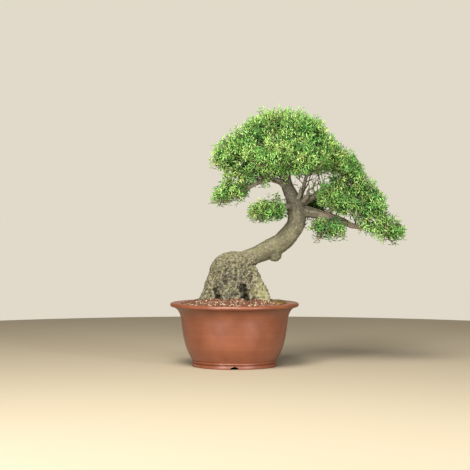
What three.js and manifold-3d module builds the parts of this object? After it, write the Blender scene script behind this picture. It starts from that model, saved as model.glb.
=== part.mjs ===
// A leaning bonsai tree in a round, unglazed clay pot, in millimetres, +Z up.
//
// The pot stands on a foot ring with three arched notches. Its one drain hole is covered inside by a
// plastic screen, which a bent wire clip holds down. The soil fills the pot, a layer of gravel lies on the
// soil, and a cushion of moss grows on the gravel. The tree's wood is one grown piece: a flared stump with
// roots, a leaning trunk and its branches. Each branch carries a pad of foliage, modelled as a closed clump.
//
// Shapes are first made round the pot's axis, with the table at Z = 0. The whole is then moved so that the
// origin is the middle of its footprint, at table height. The front is towards -Y.

import * as THREE from 'three';
import { mergeVertices } from 'three/addons/utils/BufferGeometryUtils.js';
import Module from 'manifold-3d';

const wasm = await Module();
wasm.setup();

// ---- Driving dimensions, mm -------------------------------------------------------------------------------

const POT_HEIGHT = 177;
const RIM_RADIUS = 180;       // outer edge of the flared lip
const LIP_WIDTH = 31;         // from the lip's outer edge to the mouth
const LIP_THICKNESS = 14;
const LIP_OVERHANG = 27;      // how far the lip stands out past the shoulder below it
const BASE_RADIUS = 117;      // where the body meets the foot
const WALL = 11;
const FLOOR_THICKNESS = 12;
const FOOT_RADIUS = 119;
const FOOT_WIDTH = 15;        // radial width of the ring that touches the table
const FOOT_HEIGHT = 17;
const FOOT_RECESS = 12;       // height of the hollow under the floor
const NOTCH_WIDTH = 26;
const NOTCH_HEIGHT = 8.5;
const NOTCHES = 3;

const DRAIN_RADIUS = 20;
const SCREEN_SIZE = 64;
const SCREEN_THICKNESS = 1.6;
const SCREEN_MESHES = 5;      // openings along each side of the screen
const SCREEN_BAR = 3;
const CLIP_WIRE = 2.2;        // diameter
const CLIP_TAIL = 18;         // how far each leg runs outwards under the floor

const SOIL_DROP = 9;          // from the rim down to the soil at the wall
const MOUND = 24;             // how much higher the soil is at the middle
const GRAVEL_DEPTH = 5;
const MOSS_SIZE = [22, 15, 7];  // half length, half width and height of the cushion
const MOSS_PLACE = [121, -52];

const TREE_HEIGHT = 538;      // from the rim's level to the top of the crown
const GIRTH = 1;              // scales the thickness of all wood
const PAD_SIZE = 1;           // scales every foliage pad about its own middle

const CLEARANCE = 0.4;        // between pieces that touch
const POT_SIDES = 36;

// ---- Materials --------------------------------------------------------------------------------------------

const paint = (color, roughness) => new THREE.MeshStandardMaterial({ color, roughness, metalness: 0 });
const clay = paint('#a5664a', 0.5);
const plastic = paint('#2c3a30', 0.6);
const wire = new THREE.MeshStandardMaterial({ color: '#8d8f92', roughness: 0.4, metalness: 1 });
const earth = paint('#5b4332', 0.95);
const gravel = paint('#9c7760', 0.9);
const moss = paint('#8a7a3a', 0.95);
const bark = paint('#857d63', 0.9);
const leaves = paint('#719048', 0.6);

// ---- Helpers ----------------------------------------------------------------------------------------------

// A closed geometry as a manifold-3d solid. Triangles that a pole has shrunk to a line are dropped.
function solidFrom(geometry) {
  const bare = new THREE.BufferGeometry().setAttribute('position', geometry.getAttribute('position'));
  if (geometry.index) bare.setIndex(geometry.index);
  const merged = mergeVertices(bare, 1e-3);
  const corners = merged.index.array;
  const kept = [];
  for (let i = 0; i < corners.length; i += 3) {
    const [a, b, c] = [corners[i], corners[i + 1], corners[i + 2]];
    if (a !== b && b !== c && a !== c) kept.push(a, b, c);
  }
  const mesh = new wasm.Mesh({
    numProp: 3,
    vertProperties: merged.attributes.position.array,
    triVerts: new Uint32Array(kept),
  });
  return new wasm.Manifold(mesh);
}

// The largest connected part of a solid, because a cut can leave crumbs.
function largest(solid) {
  return solid.decompose().reduce((a, b) => (b.volume() > a.volume() ? b : a));
}

// A solid as a named mesh.
function piece(name, solid, material) {
  const { vertProperties, triVerts } = solid.getMesh();
  const geometry = new THREE.BufferGeometry()
    .setAttribute('position', new THREE.BufferAttribute(vertProperties, 3))
    .setIndex(new THREE.BufferAttribute(triVerts, 1));
  const mesh = new THREE.Mesh(geometry, material);
  mesh.name = name;
  return mesh;
}

// A profile of [radius, height] points turned about Z. The profile runs up the outside.
function turned(profile, sides = POT_SIDES) {
  const points = profile.map(([r, z]) => new THREE.Vector2(r, z));
  return solidFrom(new THREE.LatheGeometry(points, sides).rotateX(Math.PI / 2));
}

// A rod that is standing on z = 0, moved by the given offset.
function rod(radius, height, x, y, z, sides = 24) {
  const geometry = new THREE.CylinderGeometry(radius, radius, height, sides).rotateX(Math.PI / 2);
  return solidFrom(geometry.translate(x, y, z + height / 2));
}

function block(width, depth, height, x, y, z) {
  return solidFrom(new THREE.BoxGeometry(width, depth, height).translate(x, y, z + height / 2));
}

// A tapering round limb through stations of [x, y, z, radius]. The end caps are low cones.
function limb(stations, sides = 8, grow = 0, stepsPerStation = 2) {
  const route = new THREE.CatmullRomCurve3(stations.map(([x, y, z]) => new THREE.Vector3(x, y, z)));
  const steps = (stations.length - 1) * stepsPerStation;
  const places = [];
  const corners = [];
  let across = new THREE.Vector3(0.31, -0.9, 0.2);
  for (let i = 0; i <= steps; i++) {
    const along = (i / steps) * (stations.length - 1);
    const before = Math.min(Math.floor(along), stations.length - 2);
    const radius = THREE.MathUtils.lerp(stations[before][3], stations[before + 1][3], along - before) + grow;
    const centre = route.getPoint(i / steps);
    const ahead = route.getTangent(i / steps);
    across = across.clone().addScaledVector(ahead, -across.dot(ahead)).normalize();
    const beside = new THREE.Vector3().crossVectors(ahead, across);
    for (let k = 0; k < sides; k++) {
      const turn = (k / sides) * 2 * Math.PI;
      const spoke = across.clone().multiplyScalar(Math.cos(turn)).addScaledVector(beside, Math.sin(turn));
      places.push(...centre.clone().addScaledVector(spoke, radius).toArray());
    }
  }
  const ring = (i, k) => i * sides + (k % sides);
  for (let i = 0; i < steps; i++) {
    for (let k = 0; k < sides; k++) {
      corners.push(ring(i, k), ring(i, k + 1), ring(i + 1, k + 1));
      corners.push(ring(i, k), ring(i + 1, k + 1), ring(i + 1, k));
    }
  }
  for (const [end, i, sign] of [[0, 0, -1], [1, steps, 1]]) {
    const radius = stations[end * (stations.length - 1)][3] + grow;
    const tip = route.getPoint(end).addScaledVector(route.getTangent(end), sign * radius * 0.5);
    const apex = places.push(...tip.toArray()) / 3 - 1;
    for (let k = 0; k < sides; k++) {
      corners.push(apex, ...(sign > 0 ? [ring(i, k), ring(i, k + 1)] : [ring(i, k + 1), ring(i, k)]));
    }
  }
  const geometry = new THREE.BufferGeometry()
    .setAttribute('position', new THREE.Float32BufferAttribute(places, 3))
    .setIndex(corners);
  return solidFrom(geometry);
}

// ---- Pot --------------------------------------------------------------------------------------------------

const MOUTH_RADIUS = RIM_RADIUS - LIP_WIDTH;
const SHOULDER_RADIUS = RIM_RADIUS - LIP_OVERHANG;
const LIP_UNDERSIDE = POT_HEIGHT - LIP_THICKNESS;
const SHOULDER_HEIGHT = LIP_UNDERSIDE - 11;
const FLOOR_TOP = FOOT_RECESS + FLOOR_THICKNESS;
const WALL_BOTTOM = 0.16;     // the inner wall's two ends, as shares of the body's side
const WALL_TOP = 0.94;

// The body's side from the foot up to the shoulder: a rounded belly that straightens as it rises.
// A positive inset moves it inwards, which gives the inner wall and the soil's side.
function bodySide(inset, from, to, steps) {
  const side = new THREE.CubicBezierCurve(
    new THREE.Vector2(BASE_RADIUS, FOOT_HEIGHT),
    new THREE.Vector2(BASE_RADIUS + 21, FOOT_HEIGHT + 34),
    new THREE.Vector2(SHOULDER_RADIUS - 12, SHOULDER_HEIGHT * 0.55),
    new THREE.Vector2(SHOULDER_RADIUS, SHOULDER_HEIGHT),
  );
  const points = [];
  for (let i = 0; i <= steps; i++) {
    const { x, y } = side.getPoint(THREE.MathUtils.lerp(from, to, i / steps));
    points.push([x - inset, y]);
  }
  return points;
}

// The lip's rounded outer edge, as a half circle squashed inwards.
function lipEdge(steps) {
  const half = LIP_THICKNESS / 2;
  const points = [];
  for (let i = 0; i <= steps; i++) {
    const turn = -Math.PI / 2 + (i / steps) * Math.PI;
    const radius = RIM_RADIUS - half * 0.8 * (1 - Math.cos(turn));
    points.push([radius, LIP_UNDERSIDE + half + half * Math.sin(turn)]);
  }
  return points;
}

function potBody() {
  const band = FOOT_HEIGHT * 0.55;
  const outside = [
    [0, FOOT_RECESS],
    [FOOT_RADIUS - FOOT_WIDTH, FOOT_RECESS],
    [FOOT_RADIUS - FOOT_WIDTH, 0],
    [FOOT_RADIUS - 2, 0],
    [FOOT_RADIUS, 2],
    [FOOT_RADIUS, band - 1],
    [FOOT_RADIUS - 3, band + 1],
    [FOOT_RADIUS - 0.5, band + 3],
    [FOOT_RADIUS - 0.5, FOOT_HEIGHT - 2],
    ...bodySide(0, 0, 1, 6),
    [SHOULDER_RADIUS + LIP_OVERHANG * 0.3, SHOULDER_HEIGHT + 7],
    ...lipEdge(5),
    [MOUTH_RADIUS + 4, POT_HEIGHT - 1],
    [MOUTH_RADIUS, POT_HEIGHT - 4],
  ];
  const inside = [
    [0, FLOOR_TOP],
    [BASE_RADIUS - WALL - 6, FLOOR_TOP],
    ...bodySide(WALL, WALL_BOTTOM, WALL_TOP, 4),
  ];
  return turned([...outside, ...inside.reverse()]);
}

// An arch over a chord of the notch's width at table height.
function notchCutter(turn) {
  const radius = (NOTCH_WIDTH ** 2 / 4 + NOTCH_HEIGHT ** 2) / (2 * NOTCH_HEIGHT);
  const length = FOOT_WIDTH + 20;
  const arch = new THREE.CylinderGeometry(radius, radius, length, 24);
  arch.translate(0, -(FOOT_RADIUS - FOOT_WIDTH / 2), NOTCH_HEIGHT - radius);
  return solidFrom(arch.rotateZ(turn));
}

function pot() {
  let body = potBody().subtract(rod(DRAIN_RADIUS, FLOOR_THICKNESS + 4, 0, 0, FOOT_RECESS - 2));
  for (let i = 0; i < NOTCHES; i++) body = body.subtract(notchCutter((i / NOTCHES) * 2 * Math.PI));
  return body;
}

// ---- Drain screen and clip --------------------------------------------------------------------------------

const SCREEN_BOTTOM = FLOOR_TOP + CLEARANCE;
const SCREEN_TOP = SCREEN_BOTTOM + SCREEN_THICKNESS;

function screenPitch() {
  return (SCREEN_SIZE - SCREEN_BAR) / SCREEN_MESHES;
}

// Crossing bars of plastic, with a square opening between each four.
function drainScreen() {
  let screen = null;
  for (let i = 0; i <= SCREEN_MESHES; i++) {
    const across = i * screenPitch() - (SCREEN_SIZE - SCREEN_BAR) / 2;
    const bars = block(SCREEN_SIZE, SCREEN_BAR, SCREEN_THICKNESS, 0, across, SCREEN_BOTTOM)
      .add(block(SCREEN_BAR, SCREEN_SIZE, SCREEN_THICKNESS, across, 0, SCREEN_BOTTOM));
    screen = screen ? screen.add(bars) : bars;
  }
  return screen;
}

// The clip's legs go down through two openings of the screen and the drain hole, then bend outwards.
function screenClip(grow = 0) {
  const radius = CLIP_WIRE / 2;
  const row = SCREEN_MESHES % 2 ? 0 : screenPitch() / 2;
  const leg = row + screenPitch();
  const top = SCREEN_TOP + CLEARANCE + radius;
  const under = FOOT_RECESS - CLEARANCE - radius;
  const tail = leg + CLIP_TAIL;
  const bend = 3;
  const half = [
    [leg - bend, row, top, radius],
    [leg - bend * 0.3, row, top - bend * 0.3, radius],
    [leg, row, top - bend, radius],
    [leg, row, under + bend, radius],
    [leg + bend * 0.3, row, under + bend * 0.3, radius],
    [leg + bend, row, under, radius],
    [tail, row, under, radius],
  ];
  const otherHalf = half.map(([x, y, z, r]) => [-x, y, z, r]).reverse();
  return limb([...otherHalf, ...half], 6, grow, 1);
}

// ---- Soil, gravel and moss --------------------------------------------------------------------------------

const SOIL_EDGE = POT_HEIGHT - SOIL_DROP;
const [WALL_TOP_RADIUS, WALL_TOP_HEIGHT] = bodySide(WALL, WALL_TOP, WALL_TOP, 1)[0];
const SOIL_TOP_RADIUS = THREE.MathUtils.mapLinear(
  SOIL_EDGE, WALL_TOP_HEIGHT, POT_HEIGHT - 4, WALL_TOP_RADIUS, MOUTH_RADIUS,
) - CLEARANCE;

// The height of the mounded surface at a distance from the axis, above the soil's edge.
function mound(radius) {
  return MOUND * Math.cos((Math.min(radius / SOIL_TOP_RADIUS, 1) * Math.PI) / 2) ** 1.2;
}

function surfaceProfile(lift, steps) {
  const points = [];
  for (let i = steps; i >= 0; i--) {
    const radius = (SOIL_TOP_RADIUS * i) / steps;
    points.push([radius, SOIL_EDGE + lift + mound(radius)]);
  }
  return points;
}

function soil(trunkRoom) {
  const body = turned([
    [0, FLOOR_TOP + CLEARANCE],
    [BASE_RADIUS - WALL - 6 - 2 * CLEARANCE, FLOOR_TOP + CLEARANCE],
    ...bodySide(WALL + CLEARANCE, WALL_BOTTOM, WALL_TOP, 4),
    ...surfaceProfile(0, 4),
  ]);
  const room = SCREEN_SIZE + 2 * CLEARANCE;
  const screenRoom = block(room, room, SCREEN_THICKNESS + 3 * CLEARANCE, 0, 0, FLOOR_TOP);
  return largest(body.subtract(screenRoom).subtract(screenClip(CLEARANCE)).subtract(trunkRoom));
}

// A layer of loose stones, as one ring-shaped sheet. Lift raises its top only.
function gravelLayer(lift = 0) {
  const top = surfaceProfile(CLEARANCE + GRAVEL_DEPTH + lift, 4);
  const bottom = surfaceProfile(CLEARANCE, 4).reverse();
  return turned([...bottom, ...top]);
}

function mossCushion(trunkRoom) {
  const [length, width, height] = MOSS_SIZE;
  const [x, y] = MOSS_PLACE;
  const ground = SOIL_EDGE + GRAVEL_DEPTH + mound(Math.hypot(x, y));
  const cushion = new THREE.SphereGeometry(1, 16, 10).rotateX(Math.PI / 2).scale(length, width, height);
  const inside = rod(MOUTH_RADIUS - 3, 60, 0, 0, ground - 30, 36);
  const body = solidFrom(cushion.translate(x, y, ground)).intersect(inside);
  return largest(body.subtract(gravelLayer(CLEARANCE)).subtract(trunkRoom));
}

// ---- Tree -------------------------------------------------------------------------------------------------

// The tree's shape is drawn at this height, as [x, y, height above the rim, radius], and scaled to the tree.
const DRAWN_HEIGHT = 538;
const SCALE = TREE_HEIGHT / DRAWN_HEIGHT;

const place = ([x, y, z, r]) => [x * SCALE, y * SCALE, POT_HEIGHT + z * SCALE, r * SCALE * GIRTH];

const LEADER = [
  [-14, 4, 78, 34], [12, 2, 108, 30], [38, 0, 123, 25], [64, 0, 135, 24], [101, 0, 151, 28],
  [130, 0, 168, 27.5], [148, 0, 184, 27.5], [161, 0, 201, 26], [172, 0, 220, 25.5], [175, 0, 246, 24.5],
  [171, 0, 272, 22], [160, 0, 297, 18], [149, 0, 320, 16], [143, 0, 345, 13.5], [146, 2, 375, 10.5],
  [152, 4, 410, 7.5], [156, 4, 450, 5],
];

// The left leg, the right leg, and the shorter roots between them and behind.
const ROOTS = [
  [[-40, -4, 108, 22], [-50, -12, 84, 20], [-60, -18, 48, 23], [-76, -24, 16, 20], [-94, -30, -14, 15],
    [-108, -34, -36, 8]],
  [[34, -6, 106, 20], [46, -14, 82, 21], [62, -22, 50, 22], [75, -30, 22, 21], [90, -37, -8, 17],
    [104, -43, -34, 9]],
  [[-2, -22, 92, 18], [-14, -44, 56, 16], [-22, -62, 20, 14], [-28, -76, -14, 10], [-30, -84, -32, 6]],
  [[30, -26, 62, 14], [34, -52, 30, 14], [40, -70, 2, 12], [44, -82, -26, 7]],
  [[-30, 24, 96, 22], [-48, 48, 56, 20], [-60, 66, 18, 17], [-72, 80, -20, 9]],
  [[26, 24, 92, 20], [46, 46, 54, 20], [60, 62, 18, 17], [74, 78, -22, 9]],
  [[-2, 34, 84, 18], [-4, 62, 42, 17], [-8, 80, 8, 14], [-10, 92, -24, 8]],
];

// Each branch ends inside the pad of foliage that it carries.
const BRANCHES = [
  [[172, 0, 272, 14], [182, 2, 292, 7], [191, 4, 314, 4.8], [200, 4, 350, 4.2], [224, 2, 388, 4],
    [262, 2, 418, 3.5]],
  [[144, 0, 345, 10], [122, -6, 364, 8], [92, -8, 386, 7], [54, -2, 404, 5.5], [14, 0, 414, 4]],
  [[150, -2, 318, 10], [126, -14, 338, 8], [96, -24, 346, 7], [62, -30, 334, 6], [26, -30, 314, 5],
    [-8, -30, 302, 3.5]],
  [[162, -4, 272, 10], [138, -12, 268, 8], [114, -20, 262, 6.5], [92, -22, 254, 5], [72, -22, 250, 3.5]],
  [[145, -2, 360, 9], [148, -36, 385, 7.5], [148, -72, 405, 6], [142, -104, 420, 4.5]],
  [[145, 4, 360, 9], [152, 38, 388, 7.5], [152, 72, 410, 6], [146, 104, 424, 4.5]],
  [[172, 0, 252, 18], [200, -2, 254, 15.5], [227, -4, 250, 15], [255, -4, 241, 14], [281, -4, 234, 12.5],
    [306, -2, 225, 11], [330, 0, 214, 8.5], [356, 0, 209, 6], [388, 0, 212, 4.5], [420, 0, 216, 3.5]],
  [[176, 0, 268, 13], [196, 0, 280, 9.5], [220, 0, 295, 8], [250, -2, 315, 7], [282, -4, 318, 6],
    [314, -4, 318, 5], [350, -2, 304, 4.5], [380, 0, 290, 3.5]],
  [[250, -4, 242, 10], [268, -12, 258, 7], [286, -20, 272, 5], [304, -24, 280, 3.5]],
  [[276, -4, 234, 9], [270, -14, 220, 6], [262, -20, 208, 4]],
  [[176, 8, 246, 13], [184, 40, 252, 9], [190, 74, 254, 7], [194, 104, 254, 4.5]],
  // dead snags at the fork
  [[170, -10, 284, 8], [181, -17, 300, 5], [184, -20, 318, 3]],
  [[186, -6, 278, 8], [204, -12, 298, 5], [206, -14, 312, 3]],
];

// A rounded burl under the trunk, where a limb was once cut and healed over.
const BURL = [[106, -2, 148, 20], [113, -4, 134, 20], [117, -6, 122, 16]];

// The stump is a dome of rings, each [height above the rim, x of its middle, half width, half depth].
const STUMP = [
  [-38, 0, 66, 54], [-10, 0, 84, 70], [18, -1, 81, 67], [48, -2, 74, 62], [80, -3, 64, 54], [98, -8, 61, 48],
  [118, -7, 47, 40], [133, -6, 30, 27], [141, -2, 11, 10],
];
const STUMP_SIDES = 20;

function stump(grow = 0) {
  const places = [];
  const corners = [];
  for (const [height, x, halfWidth, halfDepth] of STUMP) {
    for (let k = 0; k < STUMP_SIDES; k++) {
      const turn = (k / STUMP_SIDES) * 2 * Math.PI;
      places.push(
        SCALE * (x + halfWidth * Math.cos(turn)) + grow * Math.cos(turn),
        SCALE * halfDepth * Math.sin(turn) + grow * Math.sin(turn),
        POT_HEIGHT + SCALE * height,
      );
    }
  }
  const last = STUMP.length - 1;
  const [topHeight, topX] = STUMP[last];
  const ring = (i, k) => i * STUMP_SIDES + (k % STUMP_SIDES);
  const bottom = places.push(0, 0, POT_HEIGHT + SCALE * STUMP[0][0] - grow) / 3 - 1;
  const top = places.push(SCALE * topX, 0, POT_HEIGHT + SCALE * (topHeight + 2) + grow) / 3 - 1;
  for (let k = 0; k < STUMP_SIDES; k++) {
    for (let i = 0; i < last; i++) {
      corners.push(ring(i, k), ring(i, k + 1), ring(i + 1, k + 1));
      corners.push(ring(i, k), ring(i + 1, k + 1), ring(i + 1, k));
    }
    corners.push(bottom, ring(0, k + 1), ring(0, k));
    corners.push(top, ring(last, k), ring(last, k + 1));
  }
  const geometry = new THREE.BufferGeometry()
    .setAttribute('position', new THREE.Float32BufferAttribute(places, 3))
    .setIndex(corners);
  return solidFrom(geometry);
}

function wood(grow = 0) {
  let tree = stump(grow).add(limb(LEADER.map(place), 12, grow));
  for (const root of ROOTS) tree = tree.add(limb(root.map(place), 8, grow));
  for (const branch of BRANCHES) tree = tree.add(limb(branch.map(place), 7, grow, 1));
  return largest(tree.add(limb(BURL.map(place), 10, grow, 2)));
}

// ---- Foliage ----------------------------------------------------------------------------------------------

// Each pad is a low dome with a flatter underside: its middle, measured as the wood is, its half sizes, and
// the angle in degrees by which it slopes down to the right. An earlier pad keeps its room, and later ones
// make way.
const PADS = {
  crown_top_foliage: { at: [140, 0, 474], half: [128, 112, 64], slope: 2 },
  crown_left_foliage: { at: [29, 0, 414], half: [98, 98, 70], slope: -8 },
  crown_right_foliage: { at: [268, 0, 404], half: [128, 104, 56], slope: 37 },
  crown_front_foliage: { at: [150, -94, 398], half: [124, 78, 64], slope: 4 },
  crown_back_foliage: { at: [150, 98, 402], half: [126, 80, 64], slope: 4 },
  lower_crown_foliage: { at: [36, -16, 352], half: [84, 72, 34], slope: 4 },
  left_drooping_foliage: { at: [-8, -30, 303], half: [60, 48, 34], slope: -4 },
  lower_left_foliage: { at: [91, -22, 254], half: [62, 58, 42], slope: -6 },
  right_inner_foliage: { at: [304, -14, 276], half: [92, 84, 46], slope: 16 },
  right_outer_foliage: { at: [362, 0, 302], half: [88, 74, 46], slope: 47 },
  right_tip_foliage: { at: [409, 0, 206], half: [78, 64, 52], slope: 14 },
  right_under_foliage: { at: [258, -16, 205], half: [58, 52, 32], slope: 6 },
  back_low_foliage: { at: [200, 110, 262], half: [64, 52, 34], slope: 0 },
};
const UNDERSIDE = 0.72;   // how deep a pad is below its middle, as a share of its height above it
const PAD_COLUMNS = 16;
const PAD_ROWS = 8;

function pad({ at, half, slope }, grow = 0) {
  const dome = new THREE.SphereGeometry(1, PAD_COLUMNS, PAD_ROWS).rotateX(Math.PI / 2);
  const places = dome.getAttribute('position');
  for (let i = 0; i < places.count; i++) {
    if (places.getZ(i) < 0) places.setZ(i, places.getZ(i) * UNDERSIDE);
  }
  const [a, b, c] = half.map((size) => size * SCALE * PAD_SIZE + grow);
  const [x, y, z] = place([...at, 0]);
  dome.scale(a, b, c).rotateY(THREE.MathUtils.degToRad(slope)).translate(x, y, z);
  return solidFrom(dome);
}

function foliage(woodRoom) {
  const made = [];
  let taken = woodRoom;
  for (const [name, shape] of Object.entries(PADS)) {
    made.push([name, largest(pad(shape).subtract(taken))]);
    taken = taken.add(pad(shape, CLEARANCE));
  }
  return made;
}

// ---- Assembly ---------------------------------------------------------------------------------------------

const woodRoom = wood(CLEARANCE);
const plant = new THREE.Group();
plant.add(
  piece('pot', pot(), clay),
  piece('drain_screen', drainScreen(), plastic),
  piece('screen_clip', screenClip(), wire),
  piece('soil', soil(woodRoom), earth),
  piece('gravel_layer', largest(gravelLayer().subtract(woodRoom)), gravel),
  piece('moss_cushion', mossCushion(woodRoom), moss),
  piece('trunk_and_branches', wood(), bark),
);
for (const [name, solid] of foliage(woodRoom)) plant.add(piece(name, solid, leaves));

const footprint = new THREE.Box3().setFromObject(plant);
const middle = footprint.getCenter(new THREE.Vector3());
plant.position.set(-middle.x, -middle.y, -footprint.min.z);

const bonsai = new THREE.Group();
bonsai.add(plant);

export default bonsai;
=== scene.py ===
# %% [markdown]
# # A leaning bonsai tree in a round clay pot
#
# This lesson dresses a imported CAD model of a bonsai. The pot, the soil and the tree already have their
# sizes and places; here each piece gets its real surface. The tree's wood becomes gnarled bark, each plain
# clump of foliage becomes thousands of leaves on fine twigs, and the sheet of gravel becomes loose stones.
#
# Blender works in metres. Lengths in this file are written in millimetres and multiplied by MM.

# %% Load the frame
import math

import bmesh
import bpy
import numpy as np
from mathutils import Matrix, Vector, bvhtree, kdtree, noise


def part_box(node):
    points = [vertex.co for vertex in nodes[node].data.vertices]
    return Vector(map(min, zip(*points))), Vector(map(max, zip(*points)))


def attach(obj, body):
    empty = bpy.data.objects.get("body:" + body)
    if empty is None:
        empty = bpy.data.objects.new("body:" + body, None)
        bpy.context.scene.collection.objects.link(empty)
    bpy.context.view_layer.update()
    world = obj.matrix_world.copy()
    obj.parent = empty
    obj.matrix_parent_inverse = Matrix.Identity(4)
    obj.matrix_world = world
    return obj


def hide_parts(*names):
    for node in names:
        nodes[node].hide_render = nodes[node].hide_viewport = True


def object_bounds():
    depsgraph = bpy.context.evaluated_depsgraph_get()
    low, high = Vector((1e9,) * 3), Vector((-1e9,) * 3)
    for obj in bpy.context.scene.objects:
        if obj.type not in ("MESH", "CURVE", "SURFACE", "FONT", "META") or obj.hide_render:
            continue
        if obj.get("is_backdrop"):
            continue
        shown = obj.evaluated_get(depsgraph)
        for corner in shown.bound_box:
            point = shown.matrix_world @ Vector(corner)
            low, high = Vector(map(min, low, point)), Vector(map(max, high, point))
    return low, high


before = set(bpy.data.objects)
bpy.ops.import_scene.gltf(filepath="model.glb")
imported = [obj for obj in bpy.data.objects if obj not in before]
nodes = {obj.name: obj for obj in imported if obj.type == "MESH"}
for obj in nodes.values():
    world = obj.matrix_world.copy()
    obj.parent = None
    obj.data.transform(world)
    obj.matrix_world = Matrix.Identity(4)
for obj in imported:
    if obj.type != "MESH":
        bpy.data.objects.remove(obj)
cad_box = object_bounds()
MM = 0.001
print("CAD nodes:", len(nodes), "box in mm:", [[round(v / MM) for v in corner] for corner in cad_box])

# %% [markdown]
# ## Where things are
#
# The pot is round, so the middle of its box is its axis. The soil, the stump and the gravel are all
# easiest to describe round that axis and up or down from the rim, so one pair of helpers turns such places
# into metres and back.

# %% The pot's axis and rim
pot_low, pot_high = (Vector(corner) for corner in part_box("pot"))
AXIS = Vector(((pot_low.x + pot_high.x) / 2, (pot_low.y + pot_high.y) / 2, 0))
RIM_HEIGHT = pot_high.z
RIM_RADIUS = (pot_high.x - pot_low.x) / 2
ORIGIN = np.array([AXIS.x, AXIS.y, RIM_HEIGHT])


def from_rim(places):
    """Places in metres, as millimetres from the pot's axis and up from its rim."""
    return (np.asarray(places) - ORIGIN) / MM


def to_metres(mm):
    """The other way: millimetres from the axis and the rim as places in metres."""
    return ORIGIN + np.asarray(mm) * MM


print(f"pot axis at x = {AXIS.x / MM:.1f} mm")
print(f"rim {RIM_RADIUS / MM:.1f} mm in radius and {RIM_HEIGHT / MM:.1f} mm up")

# %% [markdown]
# ## Small tools
#
# Paint charts and screens give colours as sRGB hex values, but a shader works with linear light, so one
# function converts them. Another adds a node to any tree with its settings and links, and a few more on
# top of it write common steps in one call, which keeps the material and geometry trees below short. The
# last ones run a geometry node tree on a mesh and keep the result as a plain mesh.


# %% Colours, nodes and meshes
def linear(hex_colour, alpha=1.0):
    """An sRGB hex value as linear RGBA."""
    parts = [int(hex_colour[i : i + 2], 16) / 255 for i in (1, 3, 5)]
    return [p / 12.92 if p <= 0.04045 else ((p + 0.055) / 1.055) ** 2.4 for p in parts] + [alpha]


def add_node(tree, kind, inputs=None, **settings):
    """Adds a node, sets it up, and gives its inputs values or links."""
    node = tree.nodes.new(kind)
    for name, value in settings.items():
        setattr(node, name, value)
    for key, value in (inputs or {}).items():
        if isinstance(value, bpy.types.NodeSocket):
            tree.links.new(value, node.inputs[key])
        else:
            node.inputs[key].default_value = value
    return node


def colour_ramp(tree, factor, stops):
    """A colour ramp over the factor, with stops of (place, hex value)."""
    node = add_node(tree, "ShaderNodeValToRGB", {"Fac": factor})
    elements = node.color_ramp.elements
    while len(elements) < len(stops):
        elements.new(0.5)
    for element, (place, hex_colour) in zip(elements, stops):
        element.position = place
        element.color = linear(hex_colour)
    return node.outputs["Color"]


def mix_colours(tree, factor, first, second):
    """Two colours mixed by the factor."""
    return add_node(tree, "ShaderNodeMix", {0: factor, 6: first, 7: second}, data_type="RGBA").outputs[2]


def maths(tree, operation, *values):
    """One step of arithmetic in a tree."""
    return add_node(tree, "ShaderNodeMath", dict(enumerate(values)), operation=operation).outputs[0]


def vector_maths(tree, operation, *values, **more):
    """One step of vector arithmetic in a tree."""
    inputs = {**dict(enumerate(values)), **more}
    return add_node(tree, "ShaderNodeVectorMath", inputs, operation=operation).outputs[0]


def stretched(tree, value, low, high, start=0.0, end=1.0):
    """A value moved from the range low to high to the range start to end, and level beyond."""
    inputs = {"Value": value, "From Min": low, "From Max": high, "To Min": start, "To Max": end}
    return add_node(tree, "ShaderNodeMapRange", inputs).outputs[0]


def parts_of(tree, vector):
    """A vector's X, Y and Z."""
    return add_node(tree, "ShaderNodeSeparateXYZ", {0: vector}).outputs


def vector_from(tree, **parts):
    """A vector from some of its parts. The others are 0."""
    return add_node(tree, "ShaderNodeCombineXYZ", parts).outputs[0]


def object_place(tree):
    """A shaded point's place on its object, in metres."""
    return add_node(tree, "ShaderNodeTexCoord").outputs["Object"]


def clouds(tree, place, size, **more):
    """Soft noise with features of the given size in mm."""
    inputs = {"Vector": place, "Scale": 1 / (size * MM), **more}
    return add_node(tree, "ShaderNodeTexNoise", inputs).outputs["Fac"]


def cells(tree, place, size, **settings):
    """A pattern of cells of the given size in mm."""
    inputs = {"Vector": place, "Scale": 1 / (size * MM)}
    return add_node(tree, "ShaderNodeTexVoronoi", inputs, **settings).outputs


def new_material(name, **constants):
    """A material with a Principled shader. Constants are set on the shader's own sockets."""
    material = bpy.data.materials.new(name)
    material.use_nodes = True
    shader = material.node_tree.nodes["Principled BSDF"]
    for socket, value in constants.items():
        shader.inputs[socket.replace("_", " ")].default_value = value
    return material, material.node_tree, shader


def plug(tree, shader, colour, roughness=None, relief=None, strength=1.0, depth=1.0, **bump_settings):
    """Links a shader's colour and, where given, its roughness and its bump. The bump's depth is in mm."""
    tree.links.new(colour, shader.inputs["Base Color"])
    if roughness is not None:
        tree.links.new(roughness, shader.inputs["Roughness"])
    if relief is not None:
        inputs = {"Height": relief, "Strength": strength, "Distance": depth * MM}
        bump = add_node(tree, "ShaderNodeBump", inputs, **bump_settings)
        tree.links.new(bump.outputs[0], shader.inputs["Normal"])


def paint(piece, material):
    """Gives a piece one material in place of what it had."""
    piece.data.materials.clear()
    piece.data.materials.append(material)


def smooth(piece):
    """Shades a piece smooth."""
    piece.data.polygons.foreach_set("use_smooth", [True] * len(piece.data.polygons))


def new_object(name, mesh):
    """A mesh as an object in the scene, at the origin."""
    piece = bpy.data.objects.new(name, mesh)
    bpy.context.scene.collection.objects.link(piece)
    return piece


def reworked(mesh, step):
    """Runs one editing step on a mesh."""
    shell = bmesh.new()
    shell.from_mesh(mesh)
    step(shell)
    shell.to_mesh(mesh)
    shell.free()


def weld(shell):
    """An editing step that merges points at one place."""
    bmesh.ops.remove_doubles(shell, verts=shell.verts, dist=1e-6)


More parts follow.
